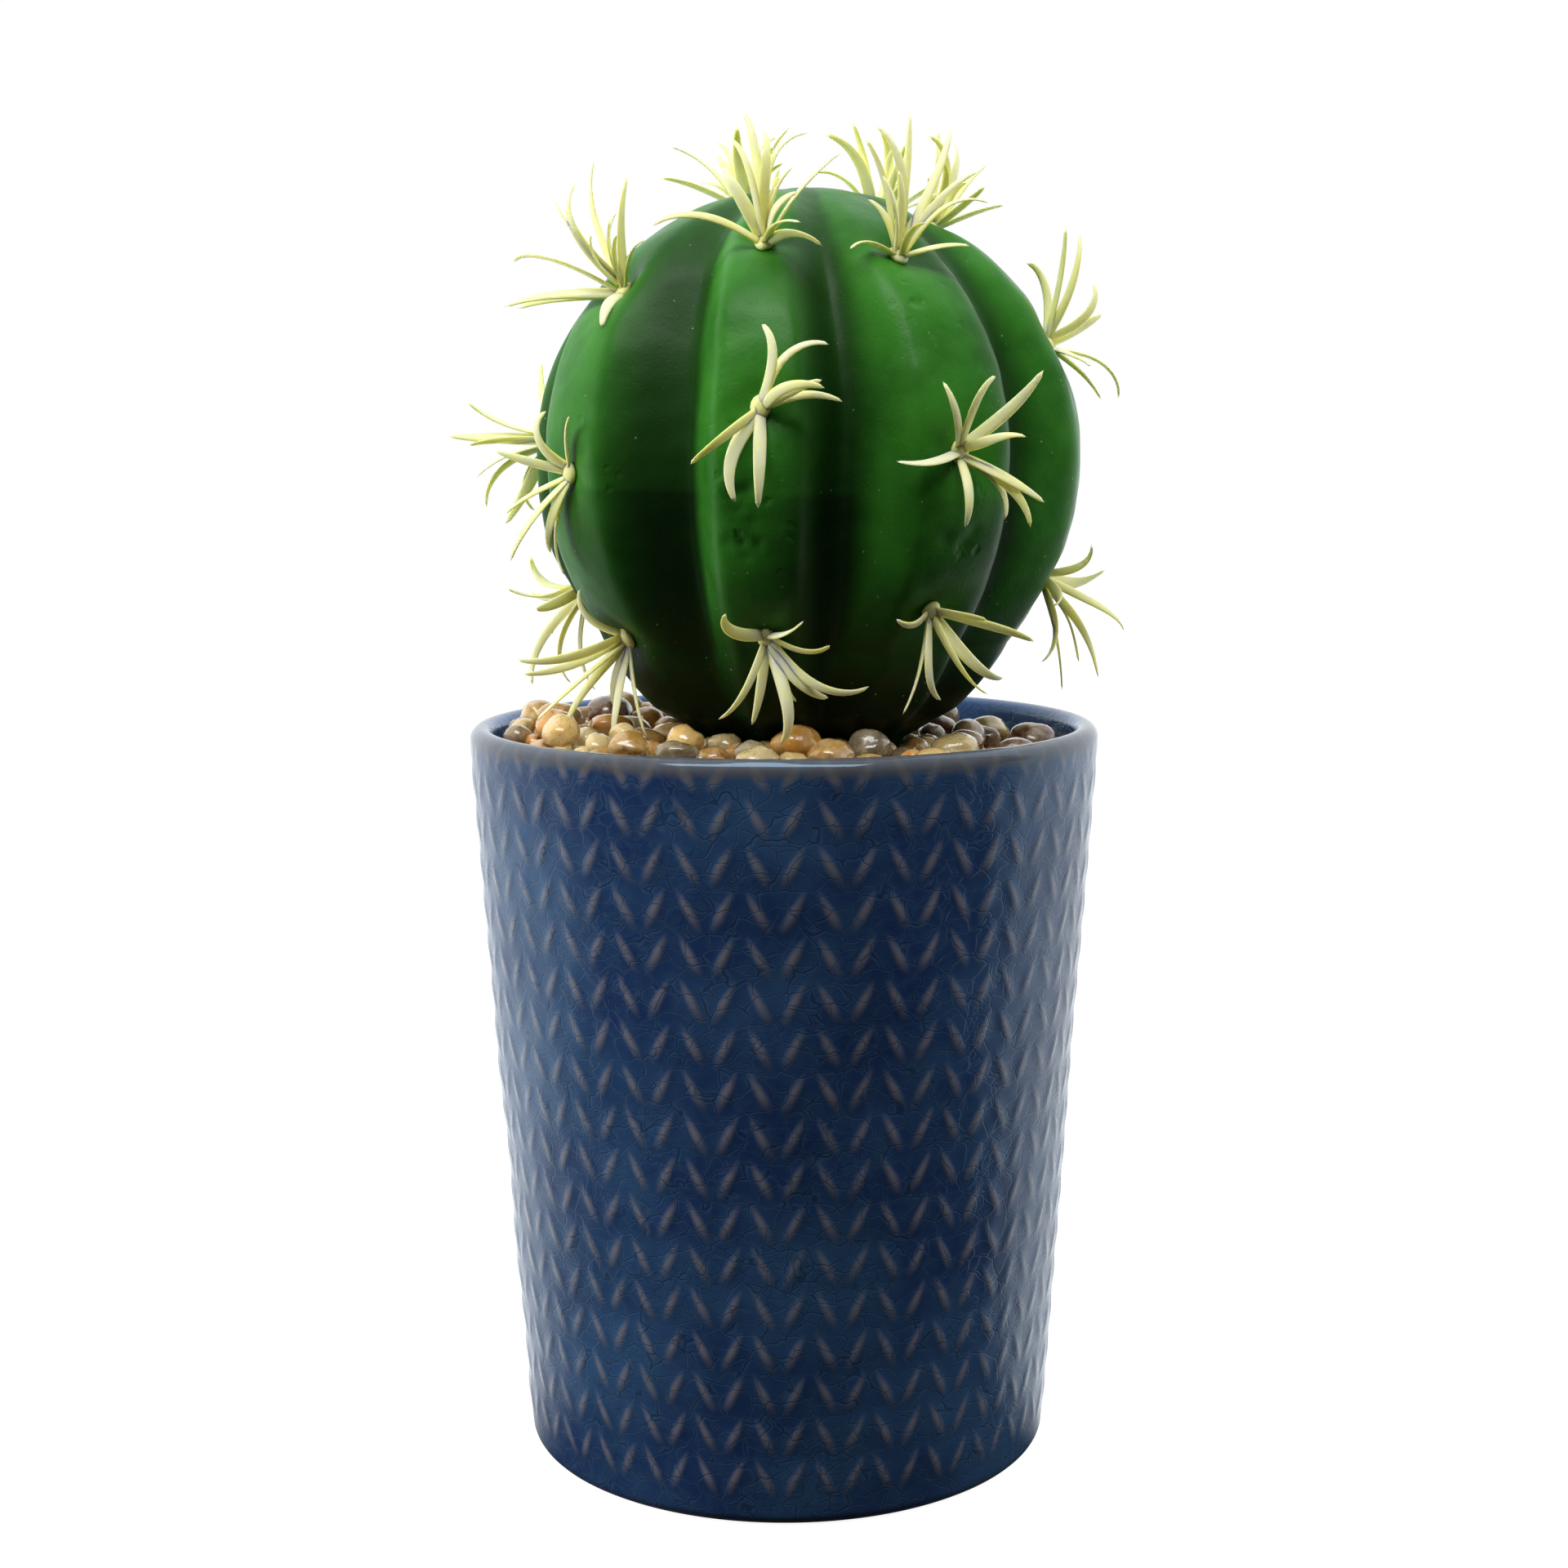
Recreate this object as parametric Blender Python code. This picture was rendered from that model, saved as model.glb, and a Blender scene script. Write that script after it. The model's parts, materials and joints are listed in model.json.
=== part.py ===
"""A round artificial cactus in a glazed pot, topped with polished pebbles.

The pot stands on the plane z = 0 with its axis on Z. The front of the plant faces -Y.
Lengths below are in millimetres and become metres through MM.
"""

import math
import random

import bmesh
import bpy
from mathutils import Matrix, Vector

MM = 0.001
GAP = 0.3  # between pieces that touch in the real object

# Pot
POT_HEIGHT = 140.0
RIM_RADIUS = 60.0
FOOT_RADIUS = 50.4
WALL = 4.6
FLOOR = 7.0
FLOOR_ROUND = 6.0  # where the inner wall meets the floor
LIP_ROUND = 2.3
FOOT_ROUND = 2.4
POT_SEGMENTS = 72
ARC_STEPS = 4  # in each quarter circle of the pot's profile

# What fills the pot
FOAM_TOP = 124.0
FOAM_SHOULDER = 7.5  # above the floor, where the foam meets the wall
FOAM_SEGMENTS = 48
BED_TOP = 135.0
BED_SINK = 1.7  # of the bed's mean top below that level
BED_STEM_GAP = 3.0
BED_WALL_GAP = 0.2
BED_ROWS = 6
BED_COLUMNS = 60
BED_LUMP = 1.1  # of the large lumps on its top
BED_LUMP_PITCH = 0.76  # radians for each millimetre
BED_FALL = (0.045, 0.02)  # how much lower the stones lie to the right and to the back

# Cactus
CACTUS_CENTRE = Vector((4.2, 0.0, 190.0))
CACTUS_LEAN = math.radians(1.5)
RIDGE_RADIUS = 52.0
CROWN_SHARE = 0.955  # height of the upper half against its radius
FURROW_DEPTH = 0.2  # as a share of the ridges' radius
FURROW_FADE = 0.35  # how late the furrows fade towards the crown, from 0
RIB_BREADTH = 1.6  # above 1, the ribs are broader than the furrows
RIB_TWIST = math.radians(-9.0)  # of the ribs at the crown, about the upright axis
FOOT_SWELL = 0.35  # how fast the ribs swell out again near their feet
SWELL_START = 0.65  # where they start to, as a share of the radius below the centre
NOTCH_DEPTH = 1.8  # of the dip in which each tuft sits
NOTCH_DEEPER = {("left", 0): 1.4}  # on top of it, for a rib's name and a row's number
NOTCH_REACH = 5.5
CROWN_DIP = 1.5  # where the ribs meet on top
STEM_RADIUS = 17.0
STEM_FOOT = -76.0  # below the centre
STEM_FLARE = (2.0, 137.0)  # how much wider the stem is at this height
STEM_NECK = 130.0
COLUMNS_PER_RIB = 12
SKIN_LEVELS = range(81, -57, -4)  # degrees above the widest level

# Spine tufts
PLUG_RADIUS = 1.9
PLUG_DEPTH = 3.0
PLUG_NECK = 0.8
PLUG_HEAD = 2.2
PLUG_DOME = 0.7
SOCKET_RISE = 3.0  # how far the cut for a plug reaches out of the skin
STRANDS = 8
STRAND_RINGS = 3
STRAND_WIDTH = 1.9
STRAND_THICKNESS = 0.7
STRAND_BEND = (1.25, 0.5)  # its rise at the root and the tip, as shares of the mean

# Pebbles
PEBBLES = 33
PEBBLE_LENGTHS = (8.0, 11.4)
PEBBLE_WIDTHS = (0.72, 0.9)  # as shares of the length
PEBBLE_HEIGHTS = (0.55, 0.68)
PEBBLE_CLEARANCE = 16.0  # between the stem and the nearest stone's centre
PEBBLE_WALL_GAP = 0.4
PEBBLE_LIFT = 0.1  # above the bed, besides the gap
PEBBLE_WEAR = 0.05
PEBBLE_WAVES = 2.2  # of the dents, in radians for each radius

TUFT_ROWS = ("top", "middle", "low")
# The ribs anticlockwise seen from above, in degrees: name, azimuth of the ridge from the front,
# azimuth of the furrow after it, and how high each row of tufts sits above the widest level.
RIBS = (
    ("front", -9, 9, (50, 10, -38)),
    ("front_right", 31, 60, (47, 2, -31)),
    ("right", 88, 116, (63, 27, -25)),
    ("back_right", 144, 172, (68, 13, -31)),
    ("back", 200, 228, (58, 5, -35)),
    ("back_left", 256, 279, (75, 3, -31)),
    ("left", 304, 330, (38, -4, -41)),
)

# One strand for each face of the plug. Clock angle in degrees seen facing the skin (0 up the
# rib, clockwise), rise out of the skin in degrees, and length.
SPRAYS = {
    "top": (
        (350, 50, 15),
        (32, 62, 15),
        (80, 42, 14),
        (140, 36, 11),
        (200, 44, 11),
        (238, 50, 12),
        (280, 44, 15),
        (322, 64, 15),
    ),
    "middle": (
        (0, 38, 15),
        (45, 50, 14),
        (92, 34, 15),
        (128, 55, 12),
        (182, 36, 14),
        (225, 48, 12),
        (262, 36, 15),
        (318, 60, 13),
    ),
    "low": (
        (10, 36, 11),
        (55, 40, 12),
        (98, 44, 14),
        (140, 46, 12),
        (180, 50, 10),
        (220, 48, 12),
        (262, 42, 14),
        (310, 38, 13),
    ),
}


def clear_scene():
    for obj in list(bpy.data.objects):
        bpy.data.objects.remove(obj, do_unlink=True)


def material(name, colour, roughness):
    made = bpy.data.materials.new(name)
    made.use_nodes = True
    shader = made.node_tree.nodes["Principled BSDF"]
    shader.inputs["Base Color"].default_value = (*colour, 1.0)
    shader.inputs["Roughness"].default_value = roughness
    made.diffuse_color = (*colour, 1.0)
    return made


def add_object(name, mesh_builder, finish):
    """A new object from a bmesh held in millimetres."""
    bmesh.ops.recalc_face_normals(mesh_builder, faces=mesh_builder.faces)
    bmesh.ops.scale(mesh_builder, vec=(MM, MM, MM), verts=mesh_builder.verts)
    mesh = bpy.data.meshes.new(name)
    mesh_builder.to_mesh(mesh)
    mesh_builder.free()
    obj = bpy.data.objects.new(name, mesh)
    bpy.context.scene.collection.objects.link(obj)
    if finish is not None:
        mesh.materials.append(finish)
    return obj


def arc(centre, radius, start, end, steps):
    """Points (r, z) of an arc, angles in degrees from +r towards +z."""
    return [
        (
            centre[0] + radius * math.cos(math.radians(start + (end - start) * i / steps)),
            centre[1] + radius * math.sin(math.radians(start + (end - start) * i / steps)),
        )
        for i in range(steps + 1)
    ]


def revolve(name, profile, segments, finish):
    """A closed solid from a profile of (r, z) that starts and ends on the Z axis."""
    built = bmesh.new()
    rings = []
    for radius, height in profile:
        if radius == 0:
            rings.append([built.verts.new((0, 0, height))])
            continue
        rings.append(
            [
                built.verts.new(
                    (
                        radius * math.cos(2 * math.pi * i / segments),
                        radius * math.sin(2 * math.pi * i / segments),
                        height,
                    )
                )
                for i in range(segments)
            ]
        )
    for lower, upper in zip(rings, rings[1:]):
        bridge(built, lower, upper)
    return add_object(name, built, finish)


def bridge(built, lower, upper):
    """Faces between two closed rings, either of which may be a single point."""
    count = max(len(lower), len(upper))
    for i in range(count):
        j = (i + 1) % count
        corners = [lower[i % len(lower)], lower[j % len(lower)]]
        corners += [upper[j % len(upper)], upper[i % len(upper)]]
        built.faces.new(dict.fromkeys(corners))


def wall_radius(height):
    """Outer radius of the pot's straight wall."""
    return FOOT_RADIUS + (RIM_RADIUS - FOOT_RADIUS) * height / (POT_HEIGHT - LIP_ROUND)


def inner_radius(height):
    return wall_radius(height) - WALL


def build_pot(finish):
    foot = wall_radius(FOOT_ROUND)
    lip_middle = RIM_RADIUS - LIP_ROUND
    profile = [(0, 0)]
    profile += arc((foot - FOOT_ROUND, FOOT_ROUND), FOOT_ROUND, -90, 0, ARC_STEPS)
    profile += arc((lip_middle, POT_HEIGHT - LIP_ROUND), LIP_ROUND, 0, 180, 2 * ARC_STEPS)
    level = FLOOR + FLOOR_ROUND
    profile += arc((inner_radius(level) - FLOOR_ROUND, level), FLOOR_ROUND, 0, -90, ARC_STEPS)
    profile += [(0, FLOOR)]
    return revolve("pot", profile, POT_SEGMENTS, finish)


def build_foam(finish):
    stem = STEM_RADIUS + GAP
    socket = CACTUS_CENTRE.z + STEM_FOOT - GAP
    floor = FLOOR + GAP
    foot = inner_radius(FLOOR + FLOOR_ROUND) - FLOOR_ROUND - GAP
    shoulder = FLOOR + FOAM_SHOULDER
    profile = [
        (0, floor),
        (foot, floor),
        (inner_radius(shoulder) - GAP, shoulder),
        (inner_radius(FOAM_TOP) - GAP, FOAM_TOP),
        (0, FOAM_TOP),
    ]
    foam = revolve("planting_foam", profile, FOAM_SEGMENTS, finish)
    cut(foam, stem_cutter("foam_socket", stem, socket, FOAM_TOP + 10))
    return foam


def stem_cutter(name, radius, low, high):
    """An upright cylinder on the axis of the stem."""
    built = bmesh.new()
    place = Matrix.Translation((stem_axis_x(), 0, (low + high) / 2))
    bmesh.ops.create_cone(
        built,
        cap_ends=True,
        segments=40,
        radius1=radius,
        radius2=radius,
        depth=high - low,
        matrix=place,
    )
    return helper(name, built)


def stem_axis_x():
    return CACTUS_CENTRE.x


def helper(name, built):
    obj = add_object(name, built, None)
    obj.hide_render = True
    obj.display_type = "WIRE"
    return obj


def cut(target, cutter):
    modifier = target.modifiers.new("cut", "BOOLEAN")
    modifier.operation = "DIFFERENCE"
    modifier.object = cutter


def bed_fall(x, y):
    """How far the stones lie below their mean level here."""
    return BED_FALL[0] * x + BED_FALL[1] * y


def build_bed(finish):
    """The lower stones, bonded into a ring with a lumpy top."""
    low = FOAM_TOP + GAP
    inner = STEM_RADIUS + BED_STEM_GAP
    outer = inner_radius(FOAM_TOP) - GAP - BED_WALL_GAP
    level = BED_TOP - BED_SINK
    built = bmesh.new()
    top = []
    bottom = []
    for i in range(BED_ROWS + 1):
        radius = inner + (outer - inner) * i / BED_ROWS
        ring_top = []
        ring_bottom = []
        for j in range(BED_COLUMNS):
            angle = 2 * math.pi * j / BED_COLUMNS
            x = stem_axis_x() * (1 - i / BED_ROWS) + radius * math.cos(angle)
            y = radius * math.sin(angle)
            lump = BED_LUMP * math.sin(BED_LUMP_PITCH * x) * math.cos(BED_LUMP_PITCH * y)
            lump += BED_LUMP / 2 * math.sin(BED_LUMP_PITCH / 1.5 * (x - y))
            ring_top.append(built.verts.new((x, y, level + lump - bed_fall(x, y))))
            if i in (0, BED_ROWS):
                ring_bottom.append(built.verts.new((x, y, low)))
        top.append(ring_top)
        if ring_bottom:
            bottom.append(ring_bottom)
    for near, far in zip(top, top[1:]):
        bridge(built, near, far)
    bridge(built, bottom[0], bottom[1])
    bridge(built, bottom[0], top[0])
    bridge(built, bottom[1], top[-1])
    return add_object("gravel_bed", built, finish)


def ridge_profile(angle):
    """(radius, height) of a ridge at this angle above the widest level, near the ball's centre.

    The ball is a sphere, flatter above its widest level and swelling a little at the ribs' feet.
    """
    swell = 1.0 + FOOT_SWELL * max(0.0, -math.sin(angle) - SWELL_START)
    flatter = CROWN_SHARE if angle > 0 else 1.0
    radius = RIDGE_RADIUS * swell
    return radius * math.cos(angle), radius * flatter * math.sin(angle)


def azimuth_of(place, angle):
    """The azimuth of a place round the ribs: whole numbers are ridges, halves are furrows."""
    rib = math.floor(place) % len(RIBS)
    share = place - math.floor(place)
    ridge, furrow = RIBS[rib][1:3]
    next_ridge = furrow + (RIBS[(rib + 1) % len(RIBS)][1] - furrow) % 360
    if share < 0.5:
        azimuth = ridge + (furrow - ridge) * share * 2
    else:
        azimuth = furrow + (next_ridge - furrow) * (share * 2 - 1)
    return math.radians(azimuth) + RIB_TWIST * max(0.0, math.sin(angle)) ** 2


def furrow_depth(place, angle):
    """How deep the skin lies below the ridges, as a share of their radius.

    The rib is broad, its flanks are steep and the furrow's bottom is round. It fades towards
    the crown.
    """
    from_ridge = abs(place - round(place)) * 2
    section = (1 - math.cos(math.pi * from_ridge**RIB_BREADTH)) / 2
    return FURROW_DEPTH * max(0.0, math.cos(angle)) ** FURROW_FADE * section


def notch_depth(place, angle, radius):
    """How deep the dips round the tufts of the nearest rib are here."""
    rib = round(place)
    turn = azimuth_of(place, angle) - azimuth_of(rib, angle)
    aside = radius * math.remainder(turn, 2 * math.pi)
    depth = 0.0
    name, _, _, row_angles = RIBS[rib % len(RIBS)]
    for row, row_angle in enumerate(row_angles):
        along = RIDGE_RADIUS * (angle - math.radians(row_angle))
        full = NOTCH_DEPTH + NOTCH_DEEPER.get((name, row), 0.0)
        depth += full * math.exp(-(along**2 + aside**2) / NOTCH_REACH**2)
    return depth


def skin_point(place, angle):
    """A point of the ribbed skin, relative to the centre, before the plant's lean."""
    radius, height = ridge_profile(angle)
    notch = notch_depth(place, angle, radius)
    radius = radius * (1 - furrow_depth(place, angle)) - notch * math.cos(angle)
    height -= notch * math.sin(angle)
    azimuth = azimuth_of(place, angle)
    return Vector((radius * math.sin(azimuth), -radius * math.cos(azimuth), height))


def lean(point):
    """The plant leans slightly to the right about its foot."""
    return Matrix.Rotation(CACTUS_LEAN, 3, "Y") @ point + CACTUS_CENTRE


def build_cactus(finish, sockets):
    built = bmesh.new()
    columns = len(RIBS) * COLUMNS_PER_RIB
    crown = Vector((0, 0, ridge_profile(math.pi / 2)[1] - CROWN_DIP))
    rings = [[built.verts.new(lean(crown))]]
    for level in SKIN_LEVELS:
        angle = math.radians(level)
        ring = []
        for i in range(columns):
            ring.append(built.verts.new(lean(skin_point(i / COLUMNS_PER_RIB, angle))))
        rings.append(ring)
    foot_height = CACTUS_CENTRE.z + STEM_FOOT
    flare = (STEM_RADIUS + STEM_FLARE[0], STEM_FLARE[1])
    for radius, height in (flare, (STEM_RADIUS, STEM_NECK), (STEM_RADIUS, foot_height)):
        ring = []
        for i in range(columns):
            azimuth = azimuth_of(i / COLUMNS_PER_RIB, 0)
            x = stem_axis_x() + radius * math.sin(azimuth)
            ring.append(built.verts.new((x, -radius * math.cos(azimuth), height)))
        rings.append(ring)
    rings.append([built.verts.new((stem_axis_x(), 0, foot_height))])
    for upper, lower in zip(rings, rings[1:]):
        bridge(built, upper, lower)
    body = add_object("cactus_body", built, finish)
    cut(body, sockets)
    return body


def tuft_frame(rib, row):
    """Where a tuft stands on its ridge: x to its right, y up along the ridge, z out of the skin."""
    angle = math.radians(RIBS[rib][3][row])
    step = math.radians(1.0)
    here = lean(skin_point(rib, angle))
    up = (lean(skin_point(rib, angle + step)) - lean(skin_point(rib, angle - step))).normalized()
    azimuth = azimuth_of(rib, angle)
    side = Vector((math.cos(azimuth), math.sin(azimuth), 0))
    out = side.cross(up).normalized()
    side = up.cross(out)
    frame = Matrix((side, up, out)).transposed().to_4x4()
    frame.translation = here
    return frame


def build_sockets():
    """All the holes that hold the tufts' plugs, as one cutter."""
    built = bmesh.new()
    depth = PLUG_DEPTH + GAP + SOCKET_RISE
    for rib in range(len(RIBS)):
        for row in range(len(TUFT_ROWS)):
            place = tuft_frame(rib, row) @ Matrix.Translation((0, 0, SOCKET_RISE - depth / 2))
            bmesh.ops.create_cone(
                built,
                cap_ends=True,
                segments=STRANDS,
                radius1=PLUG_RADIUS + GAP,
                radius2=PLUG_RADIUS + GAP,
                depth=depth,
                matrix=place,
            )
    return helper("tuft_sockets", built)


def build_tuft(name, rib, row, finish):
    """One plug with a soft strand drawn out of each of its side faces."""
    built = bmesh.new()
    spray = SPRAYS[TUFT_ROWS[row]]
    half = 2 * math.pi / STRANDS / 2
    levels = ((PLUG_RADIUS, -PLUG_DEPTH), (PLUG_RADIUS, PLUG_NECK), (PLUG_RADIUS, PLUG_HEAD))
    corners = [half * (2 * i - 1) for i in range(STRANDS)]
    rings = [
        [built.verts.new((radius * math.sin(a), radius * math.cos(a), height)) for a in corners]
        for radius, height in levels
    ]
    foot = built.verts.new((0, 0, -PLUG_DEPTH))
    crown = built.verts.new((0, 0, PLUG_HEAD + PLUG_DOME))
    bridge(built, [foot], rings[0])
    bridge(built, rings[0], rings[1])
    bridge(built, rings[2], [crown])
    for i in range(STRANDS):
        j = (i + 1) % STRANDS
        root = [rings[1][i], rings[1][j], rings[2][j], rings[2][i]]
        draw_strand(built, root, *spray[i])
    place = tuft_frame(rib, row)
    bmesh.ops.transform(built, matrix=place, verts=built.verts)
    return add_object(name, built, finish)


def draw_strand(built, root, clock, rise, length):
    """Carries the root face outwards as a tapering blade that bends back towards the skin."""
    clock = math.radians(clock)
    outward = Vector((math.sin(clock), math.cos(clock), 0))
    across = Vector((math.cos(clock), -math.sin(clock), 0))
    middle = sum((v.co for v in root), Vector()) / 4
    ring = root
    point = middle
    step = length / STRAND_RINGS
    for i in range(1, STRAND_RINGS + 1):
        share = i / STRAND_RINGS
        pitch = math.radians(rise * (STRAND_BEND[0] + (STRAND_BEND[1] - STRAND_BEND[0]) * share))
        along = outward * math.cos(pitch) + Vector((0, 0, 1)) * math.sin(pitch)
        point = point + along * step
        lift = across.cross(along)
        if lift.z < 0:
            lift = -lift
        width = STRAND_WIDTH * (1.05 - 0.8 * share**1.5) / 2
        thick = STRAND_THICKNESS * (1.1 - 0.6 * share) / 2
        offsets = ((-width, -thick), (width, -thick), (width, thick), (-width, thick))
        next_ring = [built.verts.new(point + across * a + lift * b) for a, b in offsets]
        bridge(built, ring, next_ring)
        ring = next_ring
    built.faces.new(ring)


def pebble_places():
    """(x, y, size, turn) of the top stones, none of them touching another."""
    rng = random.Random(41)
    found = []
    while len(found) < PEBBLES:
        size = rng.uniform(*PEBBLE_LENGTHS) / 2
        reach = inner_radius(BED_TOP) - size - GAP - PEBBLE_WALL_GAP
        radius = math.sqrt(rng.uniform((STEM_RADIUS + PEBBLE_CLEARANCE) ** 2, reach**2))
        angle = rng.uniform(0, 2 * math.pi)
        x, y = radius * math.cos(angle), radius * math.sin(angle)
        if all(math.hypot(x - a, y - b) > size + s + GAP for a, b, s, _ in found):
            found.append((x, y, size, rng.uniform(0, math.pi)))
    return found


def build_pebble(name, place, finish, rng):
    """A worn stone: an icosphere squashed and gently dented."""
    x, y, size, turn = place
    built = bmesh.new()
    bmesh.ops.create_icosphere(built, subdivisions=2, radius=1.0)
    phase = rng.uniform(0, 6)
    for vertex in built.verts:
        direction = vertex.co
        dent = math.sin(PEBBLE_WAVES * direction.x + phase) * math.cos(PEBBLE_WAVES * direction.y - phase)
        vertex.co = direction * (1 - PEBBLE_WEAR + PEBBLE_WEAR * dent)
    high = size * rng.uniform(*PEBBLE_HEIGHTS)
    bmesh.ops.scale(built, vec=(size, size * rng.uniform(*PEBBLE_WIDTHS), high), verts=built.verts)
    level = BED_TOP + GAP + high + PEBBLE_LIFT - bed_fall(x, y)
    turned = Matrix.Translation((x, y, level)) @ Matrix.Rotation(turn, 4, "Z")
    bmesh.ops.transform(built, matrix=turned, verts=built.verts)
    return add_object(name, built, finish)


def main():
    clear_scene()
    glaze = material("crackle_glaze", (0.02, 0.07, 0.2), 0.15)
    foam = material("foam", (0.05, 0.12, 0.05), 0.95)
    skin = material("cactus_skin", (0.03, 0.16, 0.02), 0.4)
    vinyl = material("spine_vinyl", (0.85, 0.85, 0.5), 0.35)
    stones = [
        material("stone_ochre", (0.5, 0.28, 0.07), 0.2),
        material("stone_cream", (0.65, 0.5, 0.3), 0.2),
        material("stone_maroon", (0.12, 0.04, 0.03), 0.2),
        material("stone_grey", (0.25, 0.22, 0.18), 0.2),
    ]
    build_pot(glaze)
    build_foam(foam)
    build_bed(stones[3])
    build_cactus(skin, build_sockets())
    for rib, facts in enumerate(RIBS):
        for row, row_name in enumerate(TUFT_ROWS):
            build_tuft(f"spine_tuft_{facts[0]}_{row_name}", rib, row, vinyl)
    rng = random.Random(5)
    for number, place in enumerate(pebble_places(), start=1):
        build_pebble(f"pebble_{number:02d}", place, rng.choice(stones), rng)


if __name__ == "__main__":
    main()
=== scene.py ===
"""Looks of a round artificial cactus in a crackle-glazed pot, topped with polished pebbles.

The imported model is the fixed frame: its pot stands on z = 0 with its axis on Z, and the front of
the plant faces -Y. Every length in this file is in metres, and azimuths are measured from the
front, growing towards +X.
"""

import json
import logging
import math
from collections.abc import Sequence
from dataclasses import dataclass, field
from enum import Enum

import bpy
import numpy as np
from mathutils import Matrix, Vector

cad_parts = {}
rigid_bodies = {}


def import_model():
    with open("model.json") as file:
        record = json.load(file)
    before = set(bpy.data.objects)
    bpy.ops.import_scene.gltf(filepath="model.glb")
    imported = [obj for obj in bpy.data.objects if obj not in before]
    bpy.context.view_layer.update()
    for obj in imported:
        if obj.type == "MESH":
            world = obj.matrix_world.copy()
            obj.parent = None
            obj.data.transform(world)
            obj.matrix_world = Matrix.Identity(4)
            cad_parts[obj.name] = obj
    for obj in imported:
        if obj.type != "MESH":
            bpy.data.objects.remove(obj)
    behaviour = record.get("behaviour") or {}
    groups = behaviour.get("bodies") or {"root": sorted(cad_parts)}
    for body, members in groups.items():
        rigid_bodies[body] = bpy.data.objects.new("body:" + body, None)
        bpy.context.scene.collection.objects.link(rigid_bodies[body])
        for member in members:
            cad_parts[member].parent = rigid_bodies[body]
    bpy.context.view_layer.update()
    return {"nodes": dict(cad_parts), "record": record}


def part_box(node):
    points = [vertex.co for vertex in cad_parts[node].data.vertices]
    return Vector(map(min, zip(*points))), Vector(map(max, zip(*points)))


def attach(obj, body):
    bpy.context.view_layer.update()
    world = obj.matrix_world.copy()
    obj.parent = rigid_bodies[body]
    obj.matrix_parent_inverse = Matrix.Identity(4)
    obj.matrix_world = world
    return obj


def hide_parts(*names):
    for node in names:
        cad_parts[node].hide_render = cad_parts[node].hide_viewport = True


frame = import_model()

Array = np.ndarray
Colour = tuple[float, float, float]

MM = 0.001
PATTERN_UV = "surface"
OFF_PATTERN = -10.0

log = logging.getLogger("potted_cactus")


# ---------------------------------------------------------------- meshes


def put_object(name: str, data: bpy.types.ID) -> bpy.types.Object:
    """Puts an object into the scene, at the origin.

    Args:
        name: The object's name.
        data: Its mesh, light or camera.

    Returns:
        The new object.
    """
    made = bpy.data.objects.new(name, data)
    bpy.context.scene.collection.objects.link(made)
    return made


def put_mesh(
    name: str,
    points: Array,
    faces: list[Array],
    finish: bpy.types.Material,
    corner_uv: Array | None = None,
    attributes: dict[str, Array] | None = None,
) -> bpy.types.Object:
    """Makes a smooth-shaded object at the origin from arrays of points and faces.

    Args:
        name: The object's name.
        points: Corner positions, one row each, in the row frame.
        faces: Blocks of faces, each an integer array of three or four columns.
        finish: The material of every face.
        corner_uv: One (u, v) row for each corner of each face, in the order of faces.
        attributes: Values for each point, by name: one number, or a colour of three numbers.

    Returns:
        The new object, riding on the root body.
    """
    mesh = bpy.data.meshes.new(name)
    rows = [row for block in faces for row in block.tolist()]
    mesh.from_pydata(points.tolist(), [], rows)
    mesh.polygons.foreach_set("use_smooth", np.ones(len(rows), bool))
    if corner_uv is not None:
        layer = mesh.uv_layers.new(name=PATTERN_UV)
        layer.data.foreach_set("uv", corner_uv.astype(np.float32).ravel())
    for label, values in (attributes or {}).items():
        if values.ndim == 1:
            stored = mesh.attributes.new(label, "FLOAT", "POINT")
            stored.data.foreach_set("value", values.astype(np.float32))
        else:
            stored = mesh.attributes.new(label, "FLOAT_COLOR", "POINT")
            opaque = np.column_stack([values, np.ones(len(values))])
            stored.data.foreach_set("color", opaque.astype(np.float32).ravel())
    mesh.materials.append(finish)
    mesh.update()
    made = put_object(name, mesh)
    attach(made, "root")
    return made


def tube_faces(rings: int, around: int) -> Array:
    """Quads between closed rings of points that follow one another.

    Each quad joins point c and its right-hand neighbour on one ring with the same two on the
    next ring.

    Args:
        rings: How many rings there are.
        around: How many points each ring has.

    Returns:
        An integer array of four columns.
    """
    ring, column = np.meshgrid(np.arange(rings - 1), np.arange(around), indexing="ij")
    right = (column + 1) % around
    low, high = ring * around, (ring + 1) * around
    return np.stack([low + column, low + right, high + right, high + column], -1).reshape(-1, 4)


def closed_faces(rings: int, around: int) -> list[Array]:
    """Faces of a shape whose points are its rings, then the first and the last ring's pole.

    They face outwards where the rings run anticlockwise as seen from the last pole.

    Args:
        rings: How many rings there are.
        around: How many points each ring has.

    Returns:
        The quads between the rings, and the triangles to each pole.
    """
    left = np.arange(around)
    right = (left + 1) % around
    pole = np.full(around, rings * around)
    last = (rings - 1) * around
    return [
        tube_faces(rings, around),
        np.stack([right, left, pole], -1),
        np.stack([last + left, last + right, pole + 1], -1),
    ]


def circle_points(radius: Array | float, azimuth: Array, height: Array | float) -> Array:
    """Points (r sin a, -r cos a, h) at a distance r, an azimuth a and a height h.

    Args:
        radius: Distances from Z.
        azimuth: Azimuths from the front.
        height: Heights.

    Returns:
        Positions, with the coordinates on the last axis.
    """
    x, y = radius * np.sin(azimuth), -radius * np.cos(azimuth)
    return np.stack(np.broadcast_arrays(x, y, height), -1)


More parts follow.
